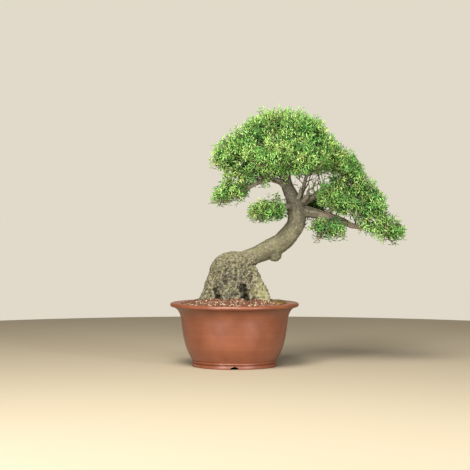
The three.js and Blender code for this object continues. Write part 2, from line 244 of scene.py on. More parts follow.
def turn_out(shell):
    """An editing step that turns every face outwards."""
    bmesh.ops.recalc_face_normals(shell, faces=shell.faces)


def mesh_from(name, places, faces=(), edges=()):
    """A mesh from places in metres."""
    mesh = bpy.data.meshes.new(name)
    mesh.from_pydata([tuple(p) for p in places], [tuple(e) for e in edges], [tuple(f) for f in faces])
    mesh.update()
    return mesh


def places_of(mesh):
    """A mesh's vertices as an array."""
    places = np.empty(len(mesh.vertices) * 3)
    mesh.vertices.foreach_get("co", places)
    return places.reshape(-1, 3)


def evaluated(source, name):
    """What an object's modifiers make of it, as a new object. The source is removed."""
    graph = bpy.context.evaluated_depsgraph_get()
    made = source.evaluated_get(graph)
    mesh = bpy.data.meshes.new_from_object(made, preserve_all_data_layers=True, depsgraph=graph)
    mesh.name = name
    bpy.data.objects.remove(source)
    return new_object(name, mesh)


def grown(mesh, name, tree, values, drop=()):
    """Runs a geometry node tree on a mesh and keeps the result as a plain mesh."""
    source = new_object(name + "_source", mesh)
    modifier = source.modifiers.new("grow", "NODES")
    modifier.node_group = tree
    for item in tree.interface.items_tree:
        if item.in_out == "INPUT" and item.name in values:
            modifier[item.identifier] = values[item.name]
    piece = evaluated(source, name)
    for attribute in drop:
        if attribute in piece.data.attributes:
            piece.data.attributes.remove(piece.data.attributes[attribute])
    return piece


def new_tree(name, inputs):
    """A geometry node tree with inputs of (name, kind, value). Gives the tree and its inputs as sockets."""
    tree = bpy.data.node_groups.new(name, "GeometryNodeTree")
    tree.interface.new_socket("Geometry", in_out="INPUT", socket_type="NodeSocketGeometry")
    tree.interface.new_socket("Geometry", in_out="OUTPUT", socket_type="NodeSocketGeometry")
    for label, kind, value in inputs:
        socket = tree.interface.new_socket(label, in_out="INPUT", socket_type="NodeSocket" + kind)
        if value is not None:
            socket.default_value = value
    return tree, add_node(tree, "NodeGroupInput").outputs


def keep(tree, geometry, name, value, kind="FLOAT", domain="POINT"):
    """Keeps a value under a name on the geometry."""
    inputs = {"Geometry": geometry, "Name": name, "Value": value}
    return add_node(tree, "GeometryNodeStoreNamedAttribute", inputs, data_type=kind, domain=domain).outputs[0]


def kept(tree, name, kind="FLOAT"):
    """The value that was kept under a name."""
    node = add_node(tree, "GeometryNodeInputNamedAttribute", {"Name": name}, data_type=kind)
    return node.outputs["Attribute"]


def chance(tree, low, high, seed):
    """A random number between two limits. All of them may be sockets."""
    inputs = {2: low, 3: high, "Seed": seed}
    return add_node(tree, "FunctionNodeRandomValue", inputs, data_type="FLOAT").outputs[1]


def end_tree(tree, geometry, material, own_place=None):
    """Ends a tree: copies made real, laid on the colour chart if they have a place on it, and painted."""
    real = add_node(tree, "GeometryNodeRealizeInstances", {"Geometry": geometry}).outputs[0]
    if own_place is not None:
        real = store_chart_place(tree, real, own_place)
    done = add_node(tree, "GeometryNodeSetMaterial", {"Geometry": real, "Material": material})
    add_node(tree, "NodeGroupOutput", {"Geometry": done.outputs[0]})
    return tree


def triangles(piece):
    """How many triangles a piece has."""
    piece.data.calc_loop_triangles()
    return len(piece.data.loop_triangles)


# %% [markdown]
# ## A colour chart for small things
#
# A leaf, a stone or a twig is too small for a pattern of its own, but no two are quite the same colour.
# Each one picks a cell of a chart of eight by eight cells, and its UV map lies inside that cell. Left to
# right the cells go from shaded to sunlit. Bottom to top they go from fresh to dry on the leaves, and by
# chance on the rest. All things of one kind can then share one small picture when the model is exported.

# %% Chart nodes
CHART_CELLS = 8
CHART_END = CHART_CELLS - 0.1
CHART_MAP = "OFBake"


def store_chart_place(tree, geometry, own_place):
    """Lays each thing's own UV place, from 0 to 1, inside its cell of the chart."""
    inset = vector_maths(tree, "MULTIPLY_ADD", own_place, (0.8, 0.8, 0), (0.1, 0.1, 0))
    moved = vector_maths(tree, "ADD", kept(tree, "cell", "FLOAT_VECTOR"), inset)
    scaled = vector_maths(tree, "SCALE", moved, Scale=1 / CHART_CELLS)
    return keep(tree, geometry, CHART_MAP, scaled, "FLOAT2", "CORNER")


def random_cell(tree, light, seed, spread, tone=None):
    """A chart cell: its column follows the light, give or take the spread, and its row the tone or chance."""
    def nudged(level, other):
        moved = maths(tree, "ADD", level, chance(tree, -spread, spread, other))
        return stretched(tree, moved, 0.0, 1.0, 0.0, CHART_END)

    row = chance(tree, 0.0, CHART_END, seed) if tone is None else nudged(tone, maths(tree, "ADD", seed, 50.0))
    return vector_maths(tree, "FLOOR", vector_from(tree, X=nudged(light, seed), Y=row))


def chart_noise(tree, chart, scale):
    """Noise over the chart, with a scale in cells."""
    inputs = {"Vector": chart["place"], "Scale": scale, "Detail": 3.0}
    return add_node(tree, "ShaderNodeTexNoise", inputs).outputs["Fac"]


def chart_nodes(tree):
    """What a shader reads from the chart: the cell's light and tone from 0 to 1, and so on."""
    place = add_node(tree, "ShaderNodeUVMap", uv_map=CHART_MAP).outputs[0]
    scaled = vector_maths(tree, "SCALE", place, Scale=CHART_CELLS)
    cell = vector_maths(tree, "FLOOR", scaled)
    column, row = parts_of(tree, cell)[:2]
    number = add_node(tree, "ShaderNodeTexWhiteNoise", {"Vector": cell}, noise_dimensions="2D")
    return {
        "light": maths(tree, "DIVIDE", column, CHART_CELLS - 1),
        "tone": maths(tree, "DIVIDE", row, CHART_CELLS - 1),
        "number": number.outputs["Value"],  # the cell's random number
        "inside": vector_maths(tree, "FRACTION", scaled),  # the place in the cell, from 0 to 1
        "place": scaled,  # the place on the chart, counted in cells
    }


print("chart:", CHART_CELLS, "by", CHART_CELLS, "cells")

# %% [markdown]
# ## The pot
#
# A bonsai pot like this is thrown on a wheel from iron-rich stoneware clay and fired without glaze. The
# wheel makes it a turned shape, so one cross-section swept round the axis gives all of it: the foot ring
# with its bead and groove, the rounded belly, the wide flat lip and the inside. The section is closed,
# because it starts and ends at the drain hole, so the sweep has no pole to close. Geometry Nodes do the
# sweep, and the three arches under the foot are cut afterwards, as the potter cuts them out of the
# leather-hard clay.

# %% The pot's cross-section
LIP_WIDTH, LIP_THICKNESS, LIP_OVERHANG, LIP_EDGE = 31, 14, 27, 11
BASE_RADIUS, FOOT_RADIUS, FOOT_WIDTH, FOOT_HEIGHT, FOOT_RECESS = 117, 119, 15, 17, 12
WALL, FLOOR_TOP, DRAIN_RADIUS = 11, 24, 20
NOTCH_WIDTH, NOTCH_HEIGHT, NOTCHES = 26, 8.5, 3
POT_HEIGHT = RIM_HEIGHT / MM
RIM = RIM_RADIUS / MM
SHOULDER_RADIUS = RIM - LIP_OVERHANG
SHOULDER_HEIGHT = POT_HEIGHT - LIP_THICKNESS - 11


def bezier(points, steps):
    """Points along a cubic curve."""
    a, b, c, d = (np.array(p, float) for p in points)
    t = np.linspace(0, 1, steps)[:, None]
    return (1 - t) ** 3 * a + 3 * (1 - t) ** 2 * t * b + 3 * (1 - t) * t**2 * c + t**3 * d


def arc(centre, radii, start, end, steps):
    """Points on an elliptical arc, with its angles in degrees."""
    turn = np.radians(np.linspace(start, end, steps))
    return np.array(centre) + np.array(radii) * np.stack([np.cos(turn), np.sin(turn)], axis=1)


def pot_section():
    """The closed cross-section as [radius, height] in millimetres, up the outside and down the inside."""
    foot_inner = FOOT_RADIUS - FOOT_WIDTH
    mouth = RIM - LIP_WIDTH
    shoulder = (SHOULDER_RADIUS - 4, SHOULDER_HEIGHT - 26)
    side = [(BASE_RADIUS, FOOT_HEIGHT), (BASE_RADIUS + 22, FOOT_HEIGHT + 32),
            (SHOULDER_RADIUS - 10, SHOULDER_HEIGHT * 0.5), shoulder]
    cove = [shoulder, (SHOULDER_RADIUS - 2.5, SHOULDER_HEIGHT - 10),
            (SHOULDER_RADIUS + 3, POT_HEIGHT - LIP_THICKNESS - 1), (RIM - 6, POT_HEIGHT - LIP_EDGE)]
    parts = [
        arc((DRAIN_RADIUS + 2, FOOT_RECESS + 2), (2, 2), 180, 270, 4),
        arc((foot_inner - 3, FOOT_RECESS - 3), (3, 3), 90, 0, 4),
        arc((foot_inner + 2, 2), (2, 2), 180, 270, 4),
        arc((FOOT_RADIUS - 2.5, 2.5), (2.5, 2.5), -90, 0, 5),
        arc((FOOT_RADIUS - 1.6, 7.8), (1.6, 1.6), 0, 90, 4),
        arc((FOOT_RADIUS - 2.6, 10.8), (1.5, 1.2), 270, 170, 5),
        arc((FOOT_RADIUS - 2.8, FOOT_HEIGHT - 2.4), (3.2, 3.0), -60, 75, 8),
        bezier(side, 24)[2:],
        bezier(cove, 14)[1:],
        arc((RIM - 5.5, POT_HEIGHT - LIP_EDGE / 2), (5.5, LIP_EDGE / 2), -74, 84, 12),
        arc((mouth + 4, POT_HEIGHT - 4.4), (4, 3.6), 88, 178, 6),
        bezier(side, 24)[::-1][:-6] - (WALL, 0),
        arc((BASE_RADIUS - WALL - 8, FLOOR_TOP + 8), (8, 8), 0, -90, 5),
        arc((DRAIN_RADIUS + 2, FLOOR_TOP - 2), (2, 2), 90, 180, 4),
    ]
    return np.concatenate(parts)


section = pot_section()
print("section points:", len(section))

# %% Sweep the section round the axis
POT_SEGMENTS = 160


def sweep_tree():
    """A tree that sweeps a closed section, drawn in X and Y, round a circle."""
    tree, given = new_tree("turned pot", [("Segments", "Int", 64), ("Circle radius", "Float", 0.1),
                                          ("Material", "Material", None)])
    loop = add_node(tree, "GeometryNodeMeshToCurve", {"Mesh": given["Geometry"]})
    circle = add_node(tree, "GeometryNodeCurvePrimitiveCircle",
                      {"Resolution": given["Segments"], "Radius": given["Circle radius"]})
    swept = add_node(tree, "GeometryNodeCurveToMesh",
                     {"Curve": circle.outputs["Curve"], "Profile Curve": loop.outputs["Curve"]})
    return end_tree(tree, swept.outputs["Mesh"], given["Material"])


def notch_cutter():
    """Three arches that cross the foot ring, as one mesh."""
    radius = (NOTCH_WIDTH**2 / 4 + NOTCH_HEIGHT**2) / (2 * NOTCH_HEIGHT)
    cutter = bmesh.new()
    for i in range(NOTCHES):
        made = bmesh.ops.create_cone(cutter, cap_ends=True, segments=64, radius1=radius * MM,
                                     radius2=radius * MM, depth=(FOOT_WIDTH + 20) * MM)["verts"]
        turn = i / NOTCHES * 2 * math.pi
        for vertex in made:
            x, y, z = vertex.co
            out = -(FOOT_RADIUS - FOOT_WIDTH / 2) * MM + z
            vertex.co = (x * math.cos(turn) - out * math.sin(turn), x * math.sin(turn) + out * math.cos(turn),
                         y + (NOTCH_HEIGHT - radius) * MM)
    turn_out(cutter)
    mesh = bpy.data.meshes.new("notch_cutter")
    cutter.to_mesh(mesh)
    cutter.free()
    return new_object("notch_cutter", mesh)


def make_pot(material):
    """The swept pot with its notches cut, at the pot's place."""
    circle_radius = 100 * MM
    drawn = [(r * MM - circle_radius, -z * MM, 0) for r, z in section]
    edges = [(i, (i + 1) % len(drawn)) for i in range(len(drawn))]
    values = {"Segments": POT_SEGMENTS, "Circle radius": circle_radius, "Material": material}
    swept = grown(mesh_from("pot_section", drawn, edges=edges), "clay_pot", sweep_tree(), values)
    reworked(swept.data, turn_out)
    cutter = notch_cutter()
    cut = swept.modifiers.new("notches", "BOOLEAN")
    cut.operation = "DIFFERENCE"
    cut.solver = "EXACT"
    cut.object = cutter
    piece = evaluated(swept, "clay_pot")
    bpy.data.objects.remove(cutter)
    piece.data.transform(Matrix.Translation(AXIS))
    piece.data.set_sharp_from_angle(angle=math.radians(40))
    return piece


# %% [markdown]
# ### Unglazed stoneware
#
# The clay is a red-brown stoneware. Its surface was wiped smooth on the wheel, so it has a soft satin
# gloss, faint rings from the potter's rib, and specks of sand. Iron makes it slightly uneven in colour.
# The neck just under the lip is painted darker, as the lip's shadow. The rings are about 7 mm apart and
# the sand grains about 1 mm, which is as coarse as they need to be to show.


# %% Clay material
def unglazed_stoneware():
    material, tree, shader = new_material("unglazed red stoneware", IOR=1.5, Specular_IOR_Level=0.6,
                                          Coat_Weight=0.2, Coat_Roughness=0.3)
    place = object_place(tree)
    height = parts_of(tree, place)["Z"]
    cloud = clouds(tree, place, 45, Detail=4.0)
    body = colour_ramp(tree, cloud, [(0.3, "#70381e"), (0.5, "#7b4126"), (0.72, "#864b2e")])
    wavy = maths(tree, "MULTIPLY_ADD", clouds(tree, place, 60, Detail=1.0), 4 * MM, height)
    rings = clouds(tree, vector_from(tree, Z=wavy), 7, Detail=3.0)
    ring_tone = colour_ramp(tree, rings, [(0.35, "#62301b"), (0.65, "#9b6040")])
    ringed = mix_colours(tree, 0.16, body, ring_tone)
    sand = cells(tree, place, 2.4)
    few = maths(tree, "GREATER_THAN", parts_of(tree, sand["Color"])["X"], 0.8)
    specks = maths(tree, "MULTIPLY", stretched(tree, sand["Distance"], 0.16, 0.1), few)
    sandy = mix_colours(tree, specks, ringed, linear("#5f3420"))
    # Painted shadow: the neck just under the lip is painted darker, as the lip's shadow.
    under_lip = stretched(tree, height, 145 * MM, 160 * MM, 0.0, 0.45)
    painted_neck_shadow = maths(tree, "MULTIPLY", under_lip, maths(tree, "LESS_THAN", height, 167 * MM))
    relief = maths(tree, "MULTIPLY_ADD", rings, 2.0, clouds(tree, place, 1.2, Detail=2.0))
    plug(tree, shader, mix_colours(tree, painted_neck_shadow, sandy, linear("#58301b")),
         stretched(tree, cloud, 0.0, 1.0, 0.38, 0.46), relief, strength=0.25, depth=0.25)
    return material


pot = make_pot(unglazed_stoneware())
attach(pot, "root")
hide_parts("pot")
print("pot triangles:", triangles(pot), "lowest point:", places_of(pot.data)[:, 2].min())

# %% [markdown]
# ## The wood
#
# The tree is one piece of wood. Its stump is old and gnarled, with roots that flare into the soil and dark
# hollows where wood rotted away; above it the leaning trunk is smoother. Such a form could be sculpted by
# hand. A rule does it here: the CAD wood is rebuilt as an even skin by a voxel remesh, which also melts
# the joints of the branches together, and then each point moves along its normal by layers of noise, each
# with the size of a real feature. The hollows and the clefts are pushed in at listed places.

# %% Rebuild the wood as an even skin
WOOD_VOXEL = 2.0
HOLLOWS = [  # x and height of the middle, half width, half height and depth in mm, on the stump's front
    (31, 6, 10, 30, 32), (24, 42, 8, 18, 12), (-47, 8, 7, 26, 24), (-51, 42, 6, 18, 9), (4, 84, 6, 16, 6),
    (-10, -2, 24, 9, 12), (44, 70, 6, 18, 6), (-22, 62, 7, 14, 5), (-2, 112, 16, 6, 5), (-30, 88, 6, 10, 5),
]


def neighbours_mean(mesh):
    """A function that gives the mean of each vertex's neighbours for any array of places."""
    ends = np.empty(len(mesh.edges) * 2, np.int64)
    mesh.edges.foreach_get("vertices", ends)
    a, b = ends.reshape(-1, 2).T
    own, other = np.concatenate([a, b]), np.concatenate([b, a])
    size = len(mesh.vertices)
    count = np.bincount(own, minlength=size)

    def mean(values):
        sums = [np.bincount(own, weights=values[other, k], minlength=size) for k in range(values.shape[1])]
        return np.stack(sums, axis=1) / count[:, None]

    return mean


def remeshed(piece, voxel):
    """The piece as one skin of even squares."""
    remesh = piece.modifiers.new("skin", "REMESH")
    remesh.mode = "VOXEL"
    remesh.voxel_size = voxel * MM
    return evaluated(piece, piece.name)


def normals_of(mesh):
    """A mesh's vertex normals as an array."""
    normals = np.empty(len(mesh.vertices) * 3)
    mesh.vertex_normals.foreach_get("vector", normals)
    return normals.reshape(-1, 3)


def move_to(mesh, places):
    """Puts a mesh's vertices at the places."""
    mesh.vertices.foreach_set("co", np.ascontiguousarray(places, dtype=np.float32).ravel())
    mesh.update()


def noise_at(places, size, offset=0.0):
    """Smooth noise from -1 to 1 at places in mm, with features of the given size in mm."""
    return np.array([noise.noise(p) for p in (places / size + offset).tolist()])


def pits_at(places, size, offset=0.0):
    """0 on open bark and up to 1 in scattered small pits of the given size in mm."""
    bent = places / size + offset
    bent = bent + 0.5 * np.stack([noise_at(places, size * 1.3, 5 * k) for k in range(3)], axis=1)
    near = np.array([noise.voronoi(p)[0][0] for p in bent.tolist()])
    return ramp(near, 0.42, 0.12) * ramp(noise_at(places, size * 4, 6.2), -0.25, 0.25)


def ramp(values, low, high):
    """0 below low, 1 above high and smooth between. Low may be the larger."""
    t = np.clip((values - low) / (high - low), 0, 1)
    return t * t * (3 - 2 * t)


def stump_share(mm):
    """1 on the stump and 0 on the trunk that leaves it, smooth between."""
    return ramp(mm[:, 2] + np.maximum(mm[:, 0] - 45, 0) * 1.2, 165, 118)


def wood_skin():
    """The CAD wood as one even skin."""
    copy = nodes["trunk_and_branches"].data.copy()
    reworked(copy, weld)
    return remeshed(new_object("bark_and_wood", copy), WOOD_VOXEL)


def melt(piece, all_over, stump_only):
    """Smooths the whole skin, then the stump alone until its roots run together, and fills it out again."""
    mean = neighbours_mean(piece.data)
    places = places_of(piece.data)
    share = stump_share(from_rim(places))[:, None]
    for _ in range(all_over):
        places = places + 0.5 * (mean(places) - places)
    for _ in range(stump_only):
        places = places + 0.5 * share * (mean(places) - places)
    move_to(piece.data, places)
    move_to(piece.data, places + normals_of(piece.data) * share * 1.5 * MM)


wood = wood_skin()
melt(wood, 4, 60)
print("wood skin vertices:", len(wood.data.vertices))


# %% Carve and roughen the wood
def bending(mm):
    """Sideways shifts in mm that keep the hollows' outlines from being plain ovals."""
    across, up = (7 * noise_at(mm, 26, 8.0), 7 * noise_at(mm, 26, 12.0))
    return np.stack([across, np.zeros(len(mm)), up], axis=1)


def carve_hollows(piece):
    """Pushes steep-sided hollows into the stump's front."""
    places = places_of(piece.data)
    mm = from_rim(places)
    facing = ramp(-normals_of(piece.data)[:, 1], 0.0, 0.4)
    bent = mm + bending(mm)
    edge = 0.7 * noise_at(mm, 8, 3.3)
    for x, height, half_width, half_height, depth in HOLLOWS:
        away = ((bent[:, 0] - x) / half_width) ** 2 + ((bent[:, 2] - height) / half_height) ** 2 + edge
        places[:, 1] += depth * MM * np.exp(-np.maximum(away, 0) ** 1.4) * facing * ramp(mm[:, 1], 5, -5)
    move_to(piece.data, places)


def hollow_share(mm):
    """1 in the middle of a deep hollow and 0 outside all of them."""
    share = np.zeros(len(mm))
    bent = mm + bending(mm) + 4 * noise_at(mm, 5, 1.1)[:, None]
    for x, height, half_width, half_height, depth in HOLLOWS:
        away = ((bent[:, 0] - x) / half_width) ** 2 + ((bent[:, 2] - height) / half_height) ** 2
        share = np.maximum(share, min(depth / 26, 1) * ramp(away, 2.0, 0.2) * ramp(mm[:, 1], 5, -5))
    return share


def roughen_wood(piece):
    """Moves the skin by noise: strong on the stump, gentle on the trunk, hardly at all on thin branches."""
    places = places_of(piece.data)
    mm = from_rim(places)
    normals = normals_of(piece.data)
    stump = stump_share(mm)
    thick = ramp(mm[:, 2], 330, 260) * ramp(mm[:, 0], 330, 250)
    core = ramp(mm[:, 2], 128, 92) * ramp(np.abs(mm[:, 0] + 4), 58, 34)
    lift = stump * (4.0 * noise_at(mm, 32, 2.6) + 3.2 * noise_at(mm, 16, 7.3) + 2.2 * noise_at(mm, 8, 4.1))
    lift += stump * (1.6 * noise_at(mm, 4.5, 8.8) - 1.6 * pits_at(mm, 9, 1.7) - 1.2 * pits_at(mm, 5.5, 3.9))
    lift += core * (2.6 * np.abs(noise_at(mm * (1, 1, 0.6), 12, 6.6)) - 1.0)
    lift += (1 - stump) * thick * (1.8 * noise_at(mm, 28, 5.5) + 0.9 * noise_at(mm, 11, 2.2))
    lift += (1 - stump) * (0.35 + 0.35 * thick) * noise_at(mm, 5, 9.1)
    lift += 1.6 * ramp(mm[:, 2], 190, 240) * ramp(mm[:, 0], 245, 215)
    move_to(piece.data, places + normals * lift[:, None] * MM)


def store_crevices(piece):
    """Keeps how deep each point lies between its neighbours or in a hollow, from 0 to 1, for painted shade
    and light on the bark.
    """
    mean = neighbours_mean(piece.data)
    places = places_of(piece.data)
    around = places
    for _ in range(5):
        around = mean(around)
    depth = np.einsum("ij,ij->i", around - places, normals_of(piece.data)) / MM
    value = np.clip(0.5 + depth * 0.55, 0, 1)
    # The hollows count as deep too, so the bark paints them dark as shade.
    value = np.maximum(value, hollow_share(from_rim(places)))
    crevice = piece.data.attributes.new("crevice", "FLOAT", "POINT")
    crevice.data.foreach_set("value", value.astype(np.float32))


carve_hollows(wood)
wood = remeshed(wood, WOOD_VOXEL)
roughen_wood(wood)
store_crevices(wood)
smooth(wood)
print("wood triangles:", triangles(wood))

# %% [markdown]
# ### Old bark
#
# The bark is grey-olive and matt, like that of an old privet or olive. Crevices and hollows are painted dark
# as shade, ridges are painted pale, partly as wear and partly as light, and a thin growth of algae and
# lichen turns some patches yellow-green, most of all on the roots near the damp gravel. The mottling and the
# plates of the bark are about 4 mm across.


# %% Bark material
def old_bark():
    material, tree, shader = new_material("old grey-olive bark", Roughness=0.88, Specular_IOR_Level=0.25)
    place = object_place(tree)
    part = parts_of(tree, place)

    def share(value, low, high, most=1.0):
        """0 at the low value and most at the high value, and level beyond them."""
        return stretched(tree, value, low, high, 0.0, most)

    def height_share(low, high, most=1.0):
        """The same by height, with both heights in mm above the rim."""
        return share(part["Z"], RIM_HEIGHT + low * MM, RIM_HEIGHT + high * MM, most)

    def right_share(low, high):
        """The same by how far a point is to the right of the pot's axis, in mm."""
        return share(part["X"], AXIS.x + low * MM, AXIS.x + high * MM)

    def both(first, second):
        return maths(tree, "MULTIPLY", first, second)

    broad = clouds(tree, place, 30, Detail=5.0, Roughness=0.65)
    trunk = colour_ramp(tree, broad, [(0.32, "#524e3e"), (0.5, "#6d6851"), (0.68, "#8a8367")])
    fork = colour_ramp(tree, broad, [(0.32, "#393329"), (0.5, "#4f493c"), (0.68, "#676050")])
    limb = colour_ramp(tree, broad, [(0.32, "#806957"), (0.68, "#b09a86")])
    upper = mix_colours(tree, height_share(205, 275), trunk, fork)
    above_stump = mix_colours(tree, both(right_share(215, 260), height_share(275, 255)), upper, limb)
    mottle = clouds(tree, place, 4, Detail=4.0, Roughness=0.8)
    stump_stops = [(0.34, "#27231c"), (0.45, "#4d4737"), (0.56, "#6b644d"), (0.7, "#a69e83")]
    stump = colour_ramp(tree, mottle, stump_stops)
    speckled = mix_colours(tree, 0.4, above_stump, stump)
    whole = mix_colours(tree, height_share(140, 105), speckled, stump)
    outward = maths(tree, "ABSOLUTE", maths(tree, "SUBTRACT", part["X"], AXIS.x - 4 * MM))
    core = both(share(outward, 58 * MM, 30 * MM, 0.5), height_share(125, 90))
    dark_core = mix_colours(tree, core, whole, linear("#3b3730"))
    growth = clouds(tree, place, 20, Detail=4.0, Distortion=0.6)
    algae = both(share(growth, 0.48, 0.62, 0.5), height_share(240, 150))
    green = mix_colours(tree, algae, dark_core, linear("#6c6b46"))
    right_foot = both(right_share(45, 65), height_share(85, 40, 0.75))
    lichened = mix_colours(tree, both(right_foot, share(growth, 0.35, 0.5)), green, linear("#928e65"))
    deep = add_node(tree, "ShaderNodeAttribute", attribute_name="crevice").outputs["Fac"]
    # Painted light and wear: the ridges are painted paler.
    ridge_wear_and_light = mix_colours(tree, share(deep, 0.42, 0.1, 0.35), lichened, linear("#aaa186"))
    # Painted shade: crevices and hollows are painted dark.
    shaded = mix_colours(tree, share(deep, 0.6, 1.0, 0.85), ridge_wear_and_light, linear("#26211a"))
    plates = share(cells(tree, place, 4, feature="DISTANCE_TO_EDGE")["Distance"], 0.0, 0.18)
    relief = maths(tree, "MULTIPLY_ADD", mottle, 3.0, plates)
    plug(tree, shader, shaded, relief=relief, strength=0.6, depth=0.8)
    return material


paint(wood, old_bark())
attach(wood, "root")
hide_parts("trunk_and_branches")

# %% [markdown]
# ## Twigs and shoots
#
# A pad of foliage is not a solid. A side branch splits into twigs, each twig ends in a tuft of short
# shoots, and each shoot carries its leaves in opposite pairs. The plain clump from the CAD model says
# where the pad is, so the shoots are planned on its surface: spaced by a minimum distance, thinner
# underneath, and pushed in and out by soft noise so that the outline is lumpy. Pads that nearly touch have
# grown together, so the spots are spread on one skin round them: each pad is swollen, the swollen pads are
# merged, and the skin is shrunk back by the same amount. Gaps narrower than twice the swelling stay
# closed. Three low pads hang apart from the rest and keep their own skins. Some pads are sparser than
# others. Twigs then tie the shoots to the wood.

# %% Plan the shoots of a pad
PAD_NAMES = [name for name in sorted(nodes) if name.endswith("_foliage")]
LOOSE_PADS = ["right_under_foliage", "lower_left_foliage", "back_low_foliage"]
FULLNESS = {  # the share of its shoots that a sparse pad keeps
    "right_under_foliage": 0.58, "right_tip_foliage": 0.58, "left_drooping_foliage": 0.68,
    "lower_left_foliage": 0.75, "lower_crown_foliage": 0.85, "crown_left_foliage": 0.95,
}
CLOSING = 19  # how far a pad is swollen and shrunk back, in mm like the five lengths below
SKIN_VOXEL = 7.0
SHOOT_SPACING = 10.5
SHOOT_LENGTH = (24, 40)
TUFT_SPACING = 36
LUMP_SIZE = 34
FORK_TWIGS = 12
rng = np.random.default_rng(11)


def merged_skin(names):
    """Some pads as one skin: swollen until neighbours meet, then shrunk back, so narrow gaps stay closed."""
    places, faces = [], []
    for name in names:
        mesh = nodes[name].data
        low, high = (np.array(corner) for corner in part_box(name))
        centre, half = (low + high) / 2, (high - low) / 2
        faces += [[len(places) + v for v in polygon.vertices] for polygon in mesh.polygons]
        places += list(centre + (places_of(mesh) - centre) * (half + CLOSING * MM) / half)
    joined = mesh_from("all_pads", places, faces=faces)
    reworked(joined, weld)
    skin = remeshed(new_object("all_pads", joined), SKIN_VOXEL)
    mean = neighbours_mean(skin.data)
    places = places_of(skin.data)
    for _ in range(8):
        places = places + 0.5 * (mean(places) - places)
    move_to(skin.data, places)
    move_to(skin.data, places - normals_of(skin.data) * CLOSING * MM)
    return skin


def spots_tree():
    """A tree that keeps points on a skin, spaced by a minimum distance, with the skin's direction at each."""
    tree, given = new_tree("spaced spots", [("Spacing", "Float", 0.01), ("Seed", "Int", 1)])
    spots = add_node(tree, "GeometryNodeDistributePointsOnFaces", {
        "Mesh": given["Geometry"], "Distance Min": given["Spacing"], "Density Max": 40000.0,
        "Seed": given["Seed"]}, distribute_method="POISSON").outputs
    facing = keep(tree, spots["Points"], "facing", spots["Normal"], "FLOAT_VECTOR")
    real = add_node(tree, "GeometryNodePointsToVertices", {"Points": facing})
    add_node(tree, "NodeGroupOutput", {"Geometry": real.outputs[0]})
    return tree


def search_trees():
    """For each pad, a search tree of its surface."""
    trees = {}
    for name in PAD_NAMES:
        mesh = nodes[name].data
        faces = [p.vertices[:] for p in mesh.polygons]
        trees[name] = bvhtree.BVHTree.FromPolygons([v.co for v in mesh.vertices], faces)
    return trees


def spread_spots(names, tree):
    """Spots on the merged skin of some pads, sorted by the pad they are nearest to: places and directions."""
    skin = merged_skin(names)
    spots = grown(skin.data.copy(), "spots", tree, {"Spacing": SHOOT_SPACING * MM, "Seed": 4})
    bpy.data.objects.remove(skin)
    places = places_of(spots.data)
    facing = np.empty(len(places) * 3)
    spots.data.attributes["facing"].data.foreach_get("vector", facing)
    facing = unit(facing.reshape(-1, 3))
    bpy.data.objects.remove(spots)
    away = np.array([[pad_trees[name].find_nearest(place)[3] for name in names] for place in places.tolist()])
    nearest = away.argmin(axis=1)
    return {name: (places[nearest == k], facing[nearest == k]) for k, name in enumerate(names)}


def unit(vectors):
    """The vectors, each made 1 long."""
    return vectors / np.linalg.norm(vectors, axis=1)[:, None]


def plan_shoots(places, facing, fullness):
    """Each shoot's foot, bend and tip, its light from 0, shaded, to 1, and its tone from 0, fresh, to 1."""
    mm = places / MM
    lumps = 0.7 * noise_at(mm, LUMP_SIZE, 20.0) + 0.45 * noise_at(mm, LUMP_SIZE * 0.5, 31.0)
    thin = fullness * np.where(facing[:, 2] < -0.35, 0.65, 1.0) * (1 - 0.9 * ramp(lumps, -0.12, -0.4))
    chosen = rng.random(len(places)) < thin
    places, facing, lumps = places[chosen], facing[chosen], lumps[chosen]
    runner = (rng.random(len(places)) < 0.14) * rng.uniform(4, 15, len(places))
    outer_tip = places + facing * ((17 * lumps - 6 + runner)[:, None] * MM)
    inner = rng.random(len(places)) < 0.75 * fullness
    inner_tip = places[inner] - facing[inner] * rng.uniform(10, 30, inner.sum())[:, None] * MM
    tips = np.concatenate([outer_tip, inner_tip])
    facing = np.concatenate([facing, facing[inner]])
    under = ramp(facing[:, 2], 0.0, -0.6)
    rise = np.stack([np.zeros(len(tips)), np.zeros(len(tips)), 0.3 - 0.7 * under], axis=1)
    sideways = np.cross(facing, unit(rng.normal(0, 1, tips.shape)))
    heading = unit(facing * 0.5 + rise + unit(sideways) * 0.65 + rng.normal(0, 0.2, tips.shape))
    length = rng.uniform(*SHOOT_LENGTH, len(tips))[:, None] * MM
    feet = tips - heading * length
    bends = (feet + tips) / 2 + rng.normal(0, 2.5, tips.shape) * MM
    depth = np.concatenate([lumps, lumps[inner] - 1.1])
    # Painted light and shade: a shoot's light is set from how deep it lies in the pad and how it faces,
    # lighter to the left and on the lumps, and darkest for the inner shoots.
    light = 0.54 + 0.03 * facing[:, 2] - 0.18 * facing[:, 0] + 0.6 * depth
    light += rng.normal(0, 0.1, len(tips))
    tone = 0.36 + 0.75 * noise_at(tips / MM, 40, 9.0) + rng.normal(0, 0.15, len(tips))
    return feet, bends, tips, np.clip(light, 0, 1), np.clip(tone, 0, 1)


pad_trees = search_trees()
spots_nodes = spots_tree()
shoots = {}
together = [name for name in PAD_NAMES if name not in LOOSE_PADS]
for names in [together] + [[name] for name in LOOSE_PADS]:
    for name, spots in spread_spots(names, spots_nodes).items():
        shoots[name] = plan_shoots(*spots, FULLNESS.get(name, 1.0))
shoot_counts = {name: len(plan[0]) for name, plan in shoots.items()}
print("shoots:", shoot_counts, "in all", sum(shoot_counts.values()))


